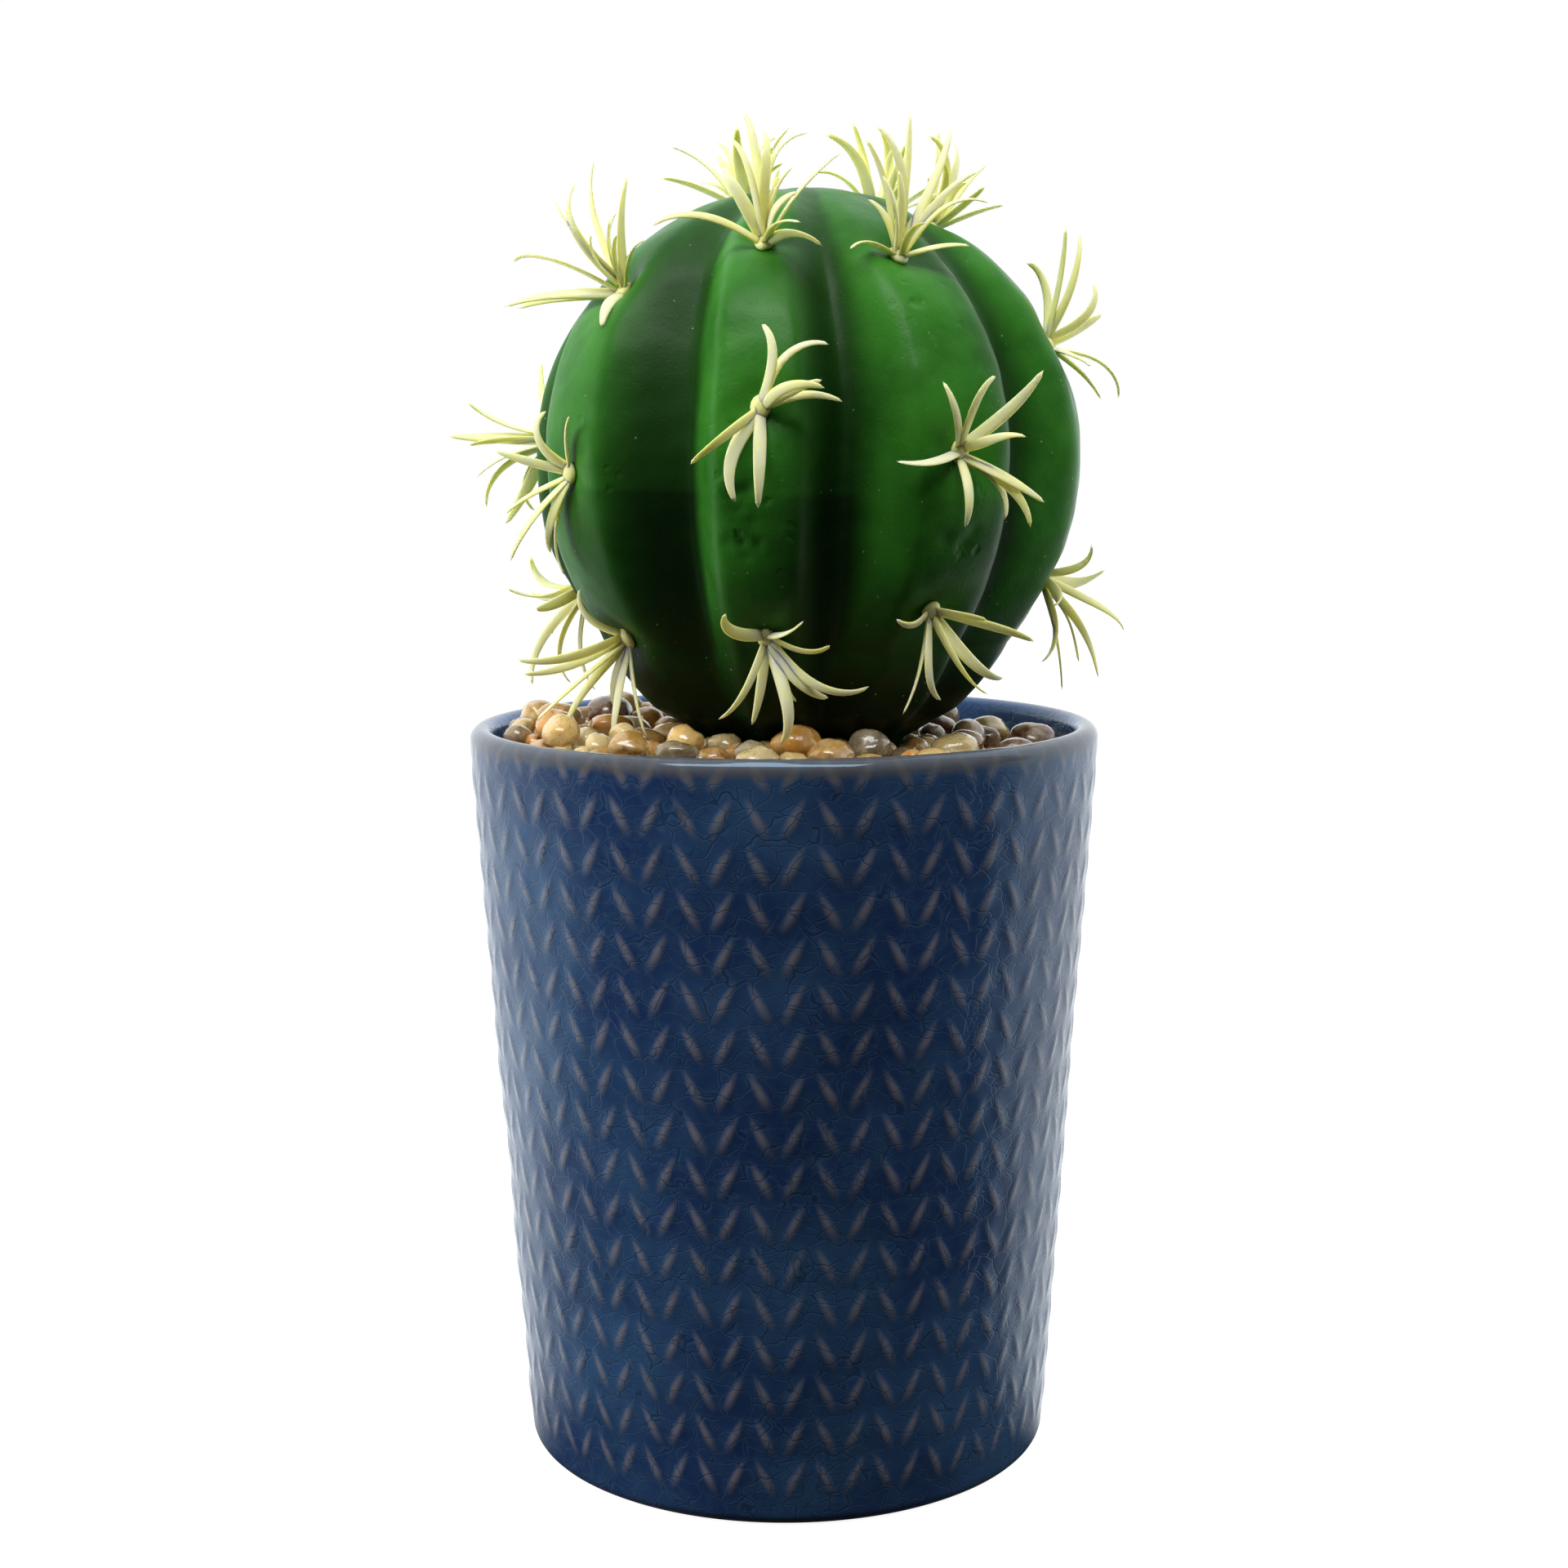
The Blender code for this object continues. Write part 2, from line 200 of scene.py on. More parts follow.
def ball_points(latitudes: Array, around: int) -> Array:
    """Points of a unit sphere: (cos b cos a, cos b sin a, sin b) at latitude b and longitude a.

    Args:
        latitudes: The rings' latitudes in degrees, from the south.
        around: How many points each ring has.

    Returns:
        The points ring by ring, with the two poles last.
    """
    turn = np.arange(around) * 2 * np.pi / around
    latitude, longitude = np.meshgrid(np.radians(latitudes), turn, indexing="ij")
    flat = np.cos(latitude)
    rings = np.stack([flat * np.cos(longitude), flat * np.sin(longitude), np.sin(latitude)], -1)
    return np.vstack([rings.reshape(-1, 3), [[0, 0, -1], [0, 0, 1]]])


class Pile:
    """Closed pieces that are gathered into one mesh."""

    def __init__(self) -> None:
        """Starts with no piece."""
        self.points: list[Array] = []
        self.faces: list[Array] = []
        self.attributes: dict[str, list[Array]] = {}
        self.count = 0

    def add(self, points: Array, faces: list[Array], **attributes: Array) -> None:
        """Adds a piece.

        Args:
            points: Its points.
            faces: Its blocks of faces, counted from its own first point.
            attributes: A value for each of its points, or a single row for them all, by name.
        """
        self.points.append(points)
        self.faces += [block + self.count for block in faces]
        self.count += len(points)
        for name, values in attributes.items():
            rows = np.repeat(values, len(points), 0) if len(values) == 1 else values
            self.attributes.setdefault(name, []).append(rows)

    def put(self, name: str, finish: bpy.types.Material) -> bpy.types.Object:
        """Makes the mesh.

        Args:
            name: The object's name.
            finish: The material of every piece.

        Returns:
            The new object, riding on the root body.
        """
        attributes = {label: np.concatenate(rows) for label, rows in self.attributes.items()}
        return put_mesh(name, np.concatenate(self.points), self.faces, finish, attributes=attributes)


def soft_noise(points: Array, wavelength: float, seed: int, waves: int = 28) -> Array:
    """Smooth random values in space.

    The formula is the sum of plane waves in random directions, with wavelengths spread a third
    to either side of the given one and random phases, divided by the root of half their number.

    Args:
        points: Positions, with the coordinates on the last axis.
        wavelength: The typical distance between two crests.
        seed: Which random field it is.
        waves: How many plane waves are added.

    Returns:
        Values of about -2 to 2 around a mean of 0, one for each position.
    """
    rng = np.random.default_rng(seed)
    directions = rng.normal(size=(waves, points.shape[-1]))
    directions /= np.linalg.norm(directions, axis=1, keepdims=True)
    pitch = wavelength * rng.uniform(0.7, 1.4, waves)
    phases = rng.uniform(0, 2 * np.pi, waves)
    angles = points @ (2 * np.pi * directions / pitch[:, None]).T + phases
    return np.sin(angles).sum(-1) / math.sqrt(waves / 2)


def smooth_step(low: float, high: float, values: Array) -> Array:
    """0 below low, 1 above high, and 3t^2 - 2t^3 between them.

    Args:
        low: Where the step begins.
        high: Where it is complete.
        values: What is measured.

    Returns:
        The steps, from 0 to 1.
    """
    share = np.clip((values - low) / (high - low), 0, 1)
    return share * share * (3 - 2 * share)


# ---------------------------------------------------------------- material nodes


class Nodes:
    """A small helper that writes one node tree, left to right.

    In its methods a value is a plain number or colour, or the output of another node, and each
    result is the output socket of the node that was added.
    """

    def __init__(self, name: str, world: bpy.types.World | None = None) -> None:
        """Starts on the tree of a new material, or of a world.

        Args:
            name: The new material's name.
            world: The world to write on instead.
        """
        self.owner = world or bpy.data.materials.new(name)
        self.owner.use_nodes = True
        self.tree = self.owner.node_tree
        self.coordinates = self.add("ShaderNodeTexCoord")
        self.position = self.coordinates.outputs["Object"]

    def add(self, kind: str, **settings: object) -> bpy.types.Node:
        """Adds a node.

        Args:
            kind: The node's type.
            settings: Its properties, by name.

        Returns:
            The new node.
        """
        node = self.tree.nodes.new(kind)
        for name, value in settings.items():
            setattr(node, name, value)
        return node

    def feed(self, socket: bpy.types.NodeSocket, value: object) -> None:
        """Links a socket to an output, or sets it to a plain value.

        Args:
            socket: The input that is set.
            value: The output or plain value; a colour may leave out its alpha.
        """
        if isinstance(value, bpy.types.NodeSocket):
            self.tree.links.new(value, socket)
        elif isinstance(value, tuple) and len(value) == 3 and socket.type == "RGBA":
            socket.default_value = (*value, 1.0)
        else:
            socket.default_value = value

    def chain(self, kind: str, values: Sequence[object], **settings: object) -> bpy.types.NodeSocket:
        """Adds a node and feeds its inputs in their order.

        Args:
            kind: The node's type.
            values: What goes into its first inputs.
            settings: Its properties, by name.

        Returns:
            Its first output.
        """
        node = self.add(kind, **settings)
        for socket, value in zip(node.inputs, values):
            self.feed(socket, value)
        return node.outputs[0]

    def maths(self, operation: str, *values: object, clamp: bool = False) -> bpy.types.NodeSocket:
        """The result of one operation.

        Args:
            operation: Its name in capitals, such as MULTIPLY.
            values: What it works on.
            clamp: Whether the result is kept between 0 and 1.

        Returns:
            The result's socket.
        """
        return self.chain("ShaderNodeMath", values, operation=operation, use_clamp=clamp)

    def split(self, vector: object) -> list[bpy.types.NodeSocket]:
        """Takes a vector apart.

        Args:
            vector: The vector.

        Returns:
            Its three coordinates.
        """
        node = self.add("ShaderNodeSeparateXYZ")
        self.feed(node.inputs[0], vector)
        return list(node.outputs)

    def ramp(
        self, value: object, low: float, high: float, start: float = 0.0, end: float = 1.0
    ) -> bpy.types.NodeSocket:
        """A smooth step.

        Args:
            value: What is measured.
            low: Where the step begins.
            high: Where it is complete.
            start: The result below low.
            end: The result above high.

        Returns:
            The step's value.
        """
        values = (value, low, high, start, end)
        return self.chain("ShaderNodeMapRange", values, interpolation_type="SMOOTHSTEP")

    def mix(self, share: object, first: object, second: object) -> bpy.types.NodeSocket:
        """A colour between two others.

        Args:
            share: How far it goes from the first to the second.
            first: The colour at 0.
            second: The colour at 1.

        Returns:
            The colour.
        """
        node = self.add("ShaderNodeMix", data_type="RGBA")
        self.feed(node.inputs["Factor"], share)
        colours = [socket for socket in node.inputs if socket.type == "RGBA"]
        self.feed(colours[0], first)
        self.feed(colours[1], second)
        return next(socket for socket in node.outputs if socket.type == "RGBA")

    def noise_node(self, size: float, detail: float, distortion: float = 0.0) -> bpy.types.Node:
        """A noise texture on the object's coordinates.

        Args:
            size: About how large its blobs are, in metres.
            detail: How many octaves of finer noise it has.
            distortion: How much it is swirled.

        Returns:
            The texture's node.
        """
        node = self.add("ShaderNodeTexNoise")
        self.feed(node.inputs["Vector"], self.position)
        self.feed(node.inputs["Scale"], 1.0 / size)
        self.feed(node.inputs["Detail"], detail)
        self.feed(node.inputs["Distortion"], distortion)
        return node

    def noise(self, size: float, detail: float = 3.0, distortion: float = 0.0) -> bpy.types.NodeSocket:
        """The value of a noise texture, about 0.5 on average.

        Args:
            size: About how large its blobs are, in metres.
            detail: How many octaves of finer noise it has.
            distortion: How much it is swirled.

        Returns:
            Its value.
        """
        return self.noise_node(size, detail, distortion).outputs["Fac"]

    def warped(self, size: float, shift: float, scale: Colour = (1.0, 1.0, 1.0)) -> bpy.types.NodeSocket:
        """The position, pushed about by noise and then stretched.

        Args:
            size: The size of the noise's blobs.
            shift: Twice the furthest push, in metres.
            scale: What each axis is multiplied by at last.

        Returns:
            The coordinates.
        """
        noise = self.noise_node(size, 2.0).outputs["Color"]
        centred = self.chain("ShaderNodeVectorMath", (noise, (0.5, 0.5, 0.5)), operation="SUBTRACT")
        push = self.chain("ShaderNodeVectorMath", (centred, (shift,) * 3), operation="MULTIPLY")
        moved = self.chain("ShaderNodeVectorMath", (self.position, push), operation="ADD")
        return self.chain("ShaderNodeVectorMath", (moved, scale), operation="MULTIPLY")

    def cells(self, size: float, feature: str = "F1", where: object = None) -> bpy.types.NodeSocket:
        """A distance in a net of Voronoi cells.

        Args:
            size: About how large the cells are, in metres.
            feature: F1 for the distance to a cell's middle, or DISTANCE_TO_EDGE.
            where: The coordinates, or the object's own if left out.

        Returns:
            The distance.
        """
        node = self.add("ShaderNodeTexVoronoi", feature=feature)
        self.feed(node.inputs["Vector"], where or self.position)
        self.feed(node.inputs["Scale"], 1.0 / size)
        return node.outputs["Distance"]

    def stored(self, attribute: str, output: str = "Fac") -> bpy.types.NodeSocket:
        """What the mesh stores at each point.

        Args:
            attribute: The name it is stored under.
            output: Fac for a number, or Color.

        Returns:
            The stored value.
        """
        return self.add("ShaderNodeAttribute", attribute_name=attribute).outputs[output]

    def bump(self, height: object, depth: float, under: object = None) -> bpy.types.NodeSocket:
        """Normals of a raised surface.

        Args:
            height: The relief, from 0 to 1.
            depth: How high 1 stands, in metres.
            under: The normals that it is laid over.

        Returns:
            The normals.
        """
        node = self.add("ShaderNodeBump")
        self.feed(node.inputs["Strength"], 1.0)
        self.feed(node.inputs["Distance"], depth)
        self.feed(node.inputs["Height"], height)
        if under is not None:
            self.feed(node.inputs["Normal"], under)
        return node.outputs["Normal"]

    def light(self, kind: str, strength: object, colour: Colour) -> bpy.types.NodeSocket:
        """A shader that gives light.

        Args:
            kind: ShaderNodeEmission, or ShaderNodeBackground in a world.
            strength: How bright it is.
            colour: Its colour.

        Returns:
            The shader.
        """
        return self.chain(kind, (colour, strength))

    def show(self, lit: bpy.types.NodeSocket, seen: bpy.types.NodeSocket) -> None:
        """Ends the tree with one shader for the camera's own view and one for all other rays.

        Args:
            lit: What other rays meet.
            seen: What the camera sees.
        """
        path = self.add("ShaderNodeLightPath").outputs["Is Camera Ray"]
        end = next(node for node in self.tree.nodes if node.type.startswith("OUTPUT"))
        self.feed(end.inputs["Surface"], self.chain("ShaderNodeMixShader", (path, lit, seen)))

    def finish(self, **inputs: object) -> bpy.types.Material:
        """Feeds the sockets of the Principled shader.

        Args:
            inputs: Values by the sockets' names, with underscores for spaces.

        Returns:
            The material.
        """
        shader = self.tree.nodes["Principled BSDF"]
        for name, value in inputs.items():
            self.feed(shader.inputs[name.replace("_", " ")], value)
        return self.owner


# ---------------------------------------------------------------- the pot


@dataclass(frozen=True)
class Stitches:
    """The knit relief: slanted leaf-shaped ridges in columns that lean alternately each way."""

    columns: int = 60
    pitch: float = 8.03 * MM
    top_row: float = 137.9 * MM
    rows: int = 17
    first_azimuth: float = math.radians(-7.5)
    slant: float = math.radians(27.0)
    half_length: float = 3.8 * MM
    half_width: float = 1.1 * MM
    rise: float = 0.22 * MM
    column_width: float = 5.8 * MM
    flare: float = 0.25
    overrun: float = 1.12

    def grid(self, azimuth: Array, height: Array) -> tuple[Array, Array]:
        """The place in the pattern.

        Args:
            azimuth: Angles round the pot.
            height: Heights above its foot.

        Returns:
            Columns from the pattern's first edge, and rows down from its top row.
        """
        across = (azimuth - self.first_azimuth) * self.columns / (2 * np.pi)
        return across, (self.top_row - height) / self.pitch

    def ridge(self, azimuth: Array, height: Array, radius: Array) -> Array:
        """How high the relief stands here, from 0 to 1.

        The nearest ridge's own axes are turned by the slant, to the left in even columns and to
        the right in odd ones. With a and b the distances along and across the ridge as shares of
        its half length and half width, the height is 0.8 exp(-b^2) (1 - a^2)^0.8 plus a broad
        swell of 0.2 exp(-(b / 2.4)^2) (1 - a^2).

        Args:
            azimuth: Angles round the pot.
            height: Heights above its foot.
            radius: Distances from its axis.

        Returns:
            The relief as a share of its full rise.
        """
        across, down = self.grid(azimuth, height)
        column = np.floor(across)
        side = (across - column - 0.5) * 2 * np.pi * radius / self.columns
        row = np.clip(np.round(down), 0, self.rows - 1)
        drop = (down - row) * self.pitch
        lean = np.where(column % 2 == 0, 1.0, -1.0)
        along = side * lean * math.sin(self.slant) + drop * math.cos(self.slant)
        beside = side * math.cos(self.slant) - lean * drop * math.sin(self.slant)
        inside = np.clip(1 - (along / self.half_length) ** 2, 0, 1)
        narrow = 0.8 * np.exp(-((beside / self.half_width) ** 2)) * inside**0.8
        broad = 0.2 * np.exp(-((beside / self.half_width / 2.4) ** 2)) * inside
        return narrow + broad

    def mask(self, nodes: Nodes) -> bpy.types.NodeSocket:
        """The same ridges as a shader mask, with worn edges and a little broader at one end.

        Args:
            nodes: The tree, on a mesh whose UV map holds the place in the pattern.

        Returns:
            The mask, from 0 to 1.
        """
        maths = nodes.maths
        sine, cosine = math.sin(self.slant), math.cos(self.slant)
        across, down, _ = nodes.split(nodes.add("ShaderNodeUVMap", uv_map=PATTERN_UV).outputs[0])
        side = maths("MULTIPLY", maths("SUBTRACT", maths("FRACT", across), 0.5), self.column_width)
        odd = maths("FLOORED_MODULO", maths("FLOOR", across), 2.0)
        lean = maths("MULTIPLY_ADD", odd, -2.0, 1.0)
        row = maths("MINIMUM", maths("MAXIMUM", maths("ROUND", down), 0.0), self.rows - 1.0)
        drop = maths("MULTIPLY", maths("SUBTRACT", down, row), self.pitch)
        along = maths("MULTIPLY", maths("MULTIPLY", side, lean), sine)
        along = maths("MULTIPLY_ADD", drop, cosine, along)
        beside = maths("MULTIPLY", maths("MULTIPLY", drop, lean), -sine)
        beside = maths("MULTIPLY_ADD", side, cosine, beside)
        flare = maths("MULTIPLY_ADD", along, self.flare / self.half_length, 1.0)
        beside = maths("DIVIDE", beside, maths("MULTIPLY", flare, self.half_width))
        along = maths("DIVIDE", along, self.half_length * self.overrun)
        reach = maths("SQRT", maths("ADD", maths("POWER", along, 2.0), maths("POWER", beside, 2.0)))
        worn = maths("MULTIPLY_ADD", nodes.noise(1.8 * MM), 0.30, reach)
        return nodes.ramp(worn, 0.15, 1.30, 1.0, 0.0)


@dataclass(frozen=True)
class CrackleGlaze:
    """Glossy blue glaze: a net of fine cracks with painted highlights beside them, thin and pale on every
    raised edge.
    """

    deep: Colour = (0.013, 0.034, 0.112)
    clear: Colour = (0.029, 0.078, 0.178)
    mottle: Colour = (0.036, 0.086, 0.150)
    thin: Colour = (0.215, 0.200, 0.215)
    inner_wall: Colour = (0.070, 0.150, 0.400)
    lip: Colour = (0.102, 0.098, 0.094)
    crack: Colour = (0.008, 0.022, 0.060)
    # Painted highlight colour beside the wide cracks.
    crack_light: Colour = (0.08, 0.15, 0.24)
    clay: Colour = (0.36, 0.25, 0.19)
    clay_speck: Colour = (0.26, 0.17, 0.13)
    crack_size: float = 4.6 * MM

    def cracks(self, nodes: Nodes) -> tuple[bpy.types.NodeSocket, bpy.types.NodeSocket]:
        """A wide net of cracks with patches of a finer one.

        Args:
            nodes: The tree it is written on.

        Returns:
            Masks of the cracks and of the painted highlight along the wide ones.
        """
        flat = nodes.warped(7 * MM, 6 * MM, (1.0, 1.0, 1.5))
        wide = nodes.cells(self.crack_size, "DISTANCE_TO_EDGE", flat)
        fine = nodes.cells(self.crack_size * 0.5, "DISTANCE_TO_EDGE", flat)
        wide_line = nodes.ramp(wide, 0.0, 0.045, 1.0, 0.0)
        # Painted highlight: a light band along each side of the wide cracks, as if their edges caught the
        # light.
        beside = nodes.maths("SUBTRACT", nodes.ramp(wide, 0.02, 0.10, 1.0, 0.0), wide_line, clamp=True)
        here_and_there = nodes.ramp(nodes.noise(14 * MM, 1.0), 0.47, 0.62)
        fine_line = nodes.maths("MULTIPLY", nodes.ramp(fine, 0.0, 0.06, 1.0, 0.0), here_and_there)
        return nodes.maths("MAXIMUM", wide_line, nodes.maths("MULTIPLY", fine_line, 0.8)), beside

    def material(self, stitches: Stitches) -> bpy.types.Material:
        """Builds the node tree.

        Args:
            stitches: The relief whose ridges show through the glaze.

        Returns:
            The finished material.
        """
        nodes = Nodes("crackle_glaze")
        maths, mix, ramp, noise = nodes.maths, nodes.mix, nodes.ramp, nodes.noise
        ridge = stitches.mask(nodes)
        rim, clay, inside = (nodes.stored(name) for name in ("rim", "clay", "inside"))
        below_lip = maths("SUBTRACT", 1.0, rim)
        crack, painted_crack_highlight_mask = self.cracks(nodes)
        crack = maths("MULTIPLY", crack, below_lip)

        blue = mix(ramp(noise(30 * MM, 4.0), 0.36, 0.66), self.deep, self.clear)
        blue = mix(ramp(noise(2.6 * MM, 4.0), 0.3, 0.75, 0.0, 0.30), blue, self.mottle)
        blue = mix(maths("MULTIPLY", ridge, 0.72), blue, self.thin)
        blue = mix(inside, blue, self.inner_wall)
        ragged = maths("MULTIPLY_ADD", noise(4 * MM), 0.5, maths("SUBTRACT", rim, 0.25))
        lip = ramp(maths("MULTIPLY_ADD", ridge, 0.30, ragged), 0.30, 0.95)
        glaze = mix(maths("MULTIPLY", lip, 0.8), blue, self.lip)
        # Painted highlight beside the cracks.
        glaze = mix(maths("MULTIPLY", painted_crack_highlight_mask, 0.27), glaze, self.crack_light)
        glaze = mix(maths("MULTIPLY", crack, 0.50), glaze, self.crack)
        bare = mix(ramp(noise(0.7 * MM, 2.0), 0.35, 0.7), self.clay, self.clay_speck)

        gloss = ramp(noise(12 * MM), 0.3, 0.8, 0.07, 0.15)
        swell = maths("MULTIPLY", noise(4.5 * MM, 1.5), maths("MULTIPLY_ADD", below_lip, 0.7, 0.3))
        normal = nodes.bump(swell, 0.09 * MM)
        normal = nodes.bump(maths("MULTIPLY", ridge, below_lip), 0.05 * MM, normal)
        glazed = maths("MULTIPLY", maths("SUBTRACT", 1.0, clay), below_lip)
        sunk = maths("MULTIPLY", maths("SUBTRACT", 1.0, crack), glazed)
        return nodes.finish(
            Base_Color=mix(clay, glaze, bare),
            Roughness=maths("MULTIPLY_ADD", clay, 0.75, gloss),
            Normal=nodes.bump(sunk, 0.03 * MM, normal),
            Specular_Tint=(0.50, 0.75, 1.0, 1.0),
        )


@dataclass(frozen=True)
class Pot:
    """The tapered stoneware pot: one closed shell, with the knit relief on its outer wall.

    The relief fades in above the foot and out below the lip, and the thin glaze of the lip and
    the bare clay of the foot begin gradually, each between the two heights that are given.
    """

    height: float = 140.0 * MM
    rim_radius: float = 60.0 * MM
    foot_radius: float = 50.4 * MM
    wall: float = 4.6 * MM
    floor: float = 7.0 * MM
    lip_round: float = 2.3 * MM
    foot_round: float = 2.4 * MM
    floor_round: float = 6.0 * MM
    axis_gap: float = 2.0 * MM
    unevenness: float = 0.10 * MM
    relief_foot: tuple[float, float] = (1.5 * MM, 5.0 * MM)
    relief_top: tuple[float, float] = (134.5 * MM, 137.2 * MM)
    lip_glaze: tuple[float, float] = (134.6 * MM, 138.8 * MM)
    bare_foot: tuple[float, float] = (0.5 * MM, 1.1 * MM)
    around: int = 540
    under_rings: int = 4
    foot_steps: int = 7
    wall_rings: int = 126
    lip_steps: int = 14
    stitches: Stitches = field(default_factory=Stitches)
    glaze: CrackleGlaze = field(default_factory=CrackleGlaze)

    def wall_radius(self, height: Array | float) -> Array | float:
        """Outer radius of the plain wall, which widens in proportion to its height.

        Args:
            height: Heights above the foot.

        Returns:
            The radii there.
        """
        reach = self.height - self.lip_round
        return self.foot_radius + (self.rim_radius - self.foot_radius) * height / reach

    def arc(
        self, centre: tuple[float, float], radius: float, start: float, end: float, steps: int
    ) -> Array:
        """An arc: its centre plus radius (cos a, sin a), with a in equal steps.

        Args:
            centre: (r, z) of its centre.
            radius: Its radius.
            start: Its first angle in degrees, from +r towards +z.
            end: Its last angle.
            steps: How many steps it has.

        Returns:
            Points (r, z), both ends included.
        """
        angle = np.radians(np.linspace(start, end, steps + 1))
        return np.column_stack([centre[0] + radius * np.cos(angle), centre[1] + radius * np.sin(angle)])

    def profile(self) -> Array:
        """The outline, from the middle of the underside, over the lip, to the floor's middle.

        It runs out along the underside, round the foot arc, up the straight taper, over the lip's
        half circle, down the inner wall, and through an arc to the floor.

        Returns:
            Points (r, z).
        """
        foot = self.wall_radius(self.foot_round) - self.foot_round
        spokes = np.linspace(self.axis_gap, foot, self.under_rings + 1)[:-1]
        under = np.column_stack([spokes, np.zeros(self.under_rings)])
        foot_arc = self.arc((foot, self.foot_round), self.foot_round, -90, 0, self.foot_steps)
        lip_low = self.height - self.lip_round
        heights = np.linspace(self.foot_round, lip_low, self.wall_rings + 2)[1:-1]
        wall = np.column_stack([self.wall_radius(heights), heights])
        lip_middle = (self.rim_radius - self.lip_round, lip_low)
        lip = self.arc(lip_middle, self.lip_round, 0, 180, self.lip_steps)
        corner_height = self.floor + self.floor_round
        depths = np.linspace(lip_low, corner_height, 9)[1:-1]
        inner = np.column_stack([self.wall_radius(depths) - self.wall, depths])
        corner = self.wall_radius(corner_height) - self.wall - self.floor_round
        floor_arc = self.arc((corner, corner_height), self.floor_round, 0, -90, 4)
        floor = np.array([[20 * MM, self.floor], [self.axis_gap, self.floor]])
        return np.vstack([under, foot_arc, wall, lip, inner, floor_arc, floor])

    def build(self) -> bpy.types.Object:
        """Turns the profile about Z and lifts the outer wall by the relief.

        Returns:
            The pot, standing for the CAD node of the same name.
        """
        line = self.profile()
        azimuth = np.arange(self.around) * 2 * np.pi / self.around
        ring = np.arange(len(line))
        lip_first = self.under_rings + self.foot_steps + 1 + self.wall_rings
        outside = (ring >= self.under_rings) & (ring <= lip_first + self.lip_steps // 3)
        inner = ring > lip_first + self.lip_steps // 2

        angles, heights = np.meshgrid(azimuth, line[:, 1])
        radii = np.repeat(line[:, :1], self.around, 1)
        fade = smooth_step(*self.relief_foot, heights) * (1 - smooth_step(*self.relief_top, heights))
        lift = self.stitches.rise * self.stitches.ridge(angles, heights, radii) * fade
        uneven = self.unevenness * soft_noise(circle_points(radii, angles, heights), 28 * MM, 3)
        lift = lift + uneven * smooth_step(0, 12 * MM, heights)
        radii = radii + np.where(outside[:, None], lift, 0.0)
        points = circle_points(radii, angles, heights).reshape(-1, 3)
        points = np.vstack([points, [0, 0, 0], [0, 0, self.floor]])

        across, down = self.stitches.grid(angles, heights)
        left = np.stack([across, np.where(inner[:, None], OFF_PATTERN, down)], -1)
        right = left + np.array([self.stitches.columns / self.around, 0])
        quad_uv = np.stack([left[:-1], right[:-1], right[1:], left[1:]], 2).reshape(-1, 2)
        cap_uv = np.full((2 * self.around * 3, 2), OFF_PATTERN)

        height = line[:, 1]
        inner_rim = 0.8 * smooth_step(self.height - 0.5 * MM, self.height, height)
        rim = np.where(inner, inner_rim, smooth_step(*self.lip_glaze, height))
        clay = 1 - smooth_step(*self.bare_foot, height)
        by_ring = {"rim": (rim, [0, 0]), "clay": (clay, [1, 0]), "inside": (inner, [0, 1])}
        attributes = {
            name: np.append(np.repeat(values, self.around), poles)
            for name, (values, poles) in by_ring.items()
        }

        glaze = self.glaze.material(self.stitches)
        faces = closed_faces(len(line), self.around)
        pot = put_mesh("pot_shell", points, faces, glaze, np.vstack([quad_uv, cap_uv]), attributes)
        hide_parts("pot")
        return pot


# ---------------------------------------------------------------- the cactus


@dataclass(frozen=True)
class Rib:
    """One rib: azimuths of its ridge and of the furrow after it, and its tufts' angles.

    The dip round each tuft may be deeper than the common one, by these lengths in metres.
    """

    name: str
    ridge: float
    furrow: float
    tufts: tuple[float, float, float]
    deeper: tuple[float, float, float] = (0.0, 0.0, 0.0)


RIBS = (
    Rib("front", -9, 9, (50, 10, -38)),
    Rib("front_right", 31, 60, (47, 2, -31)),
    Rib("right", 88, 116, (63, 27, -25)),
    Rib("back_right", 144, 172, (68, 13, -31)),
    Rib("back", 200, 228, (58, 5, -35)),
    Rib("back_left", 256, 279, (75, 3, -31)),
    Rib("left", 304, 330, (38, -4, -41), (1.4 * MM, 0.0, 0.0)),
)


class Row(Enum):
    """The three rows of tufts on each rib."""

    TOP = 0
    MIDDLE = 1
    LOW = 2

    @property
    def label(self) -> str:
        """The row's name inside a node's name.

        Returns:
            The name in small letters.
        """
        return self.name.lower()


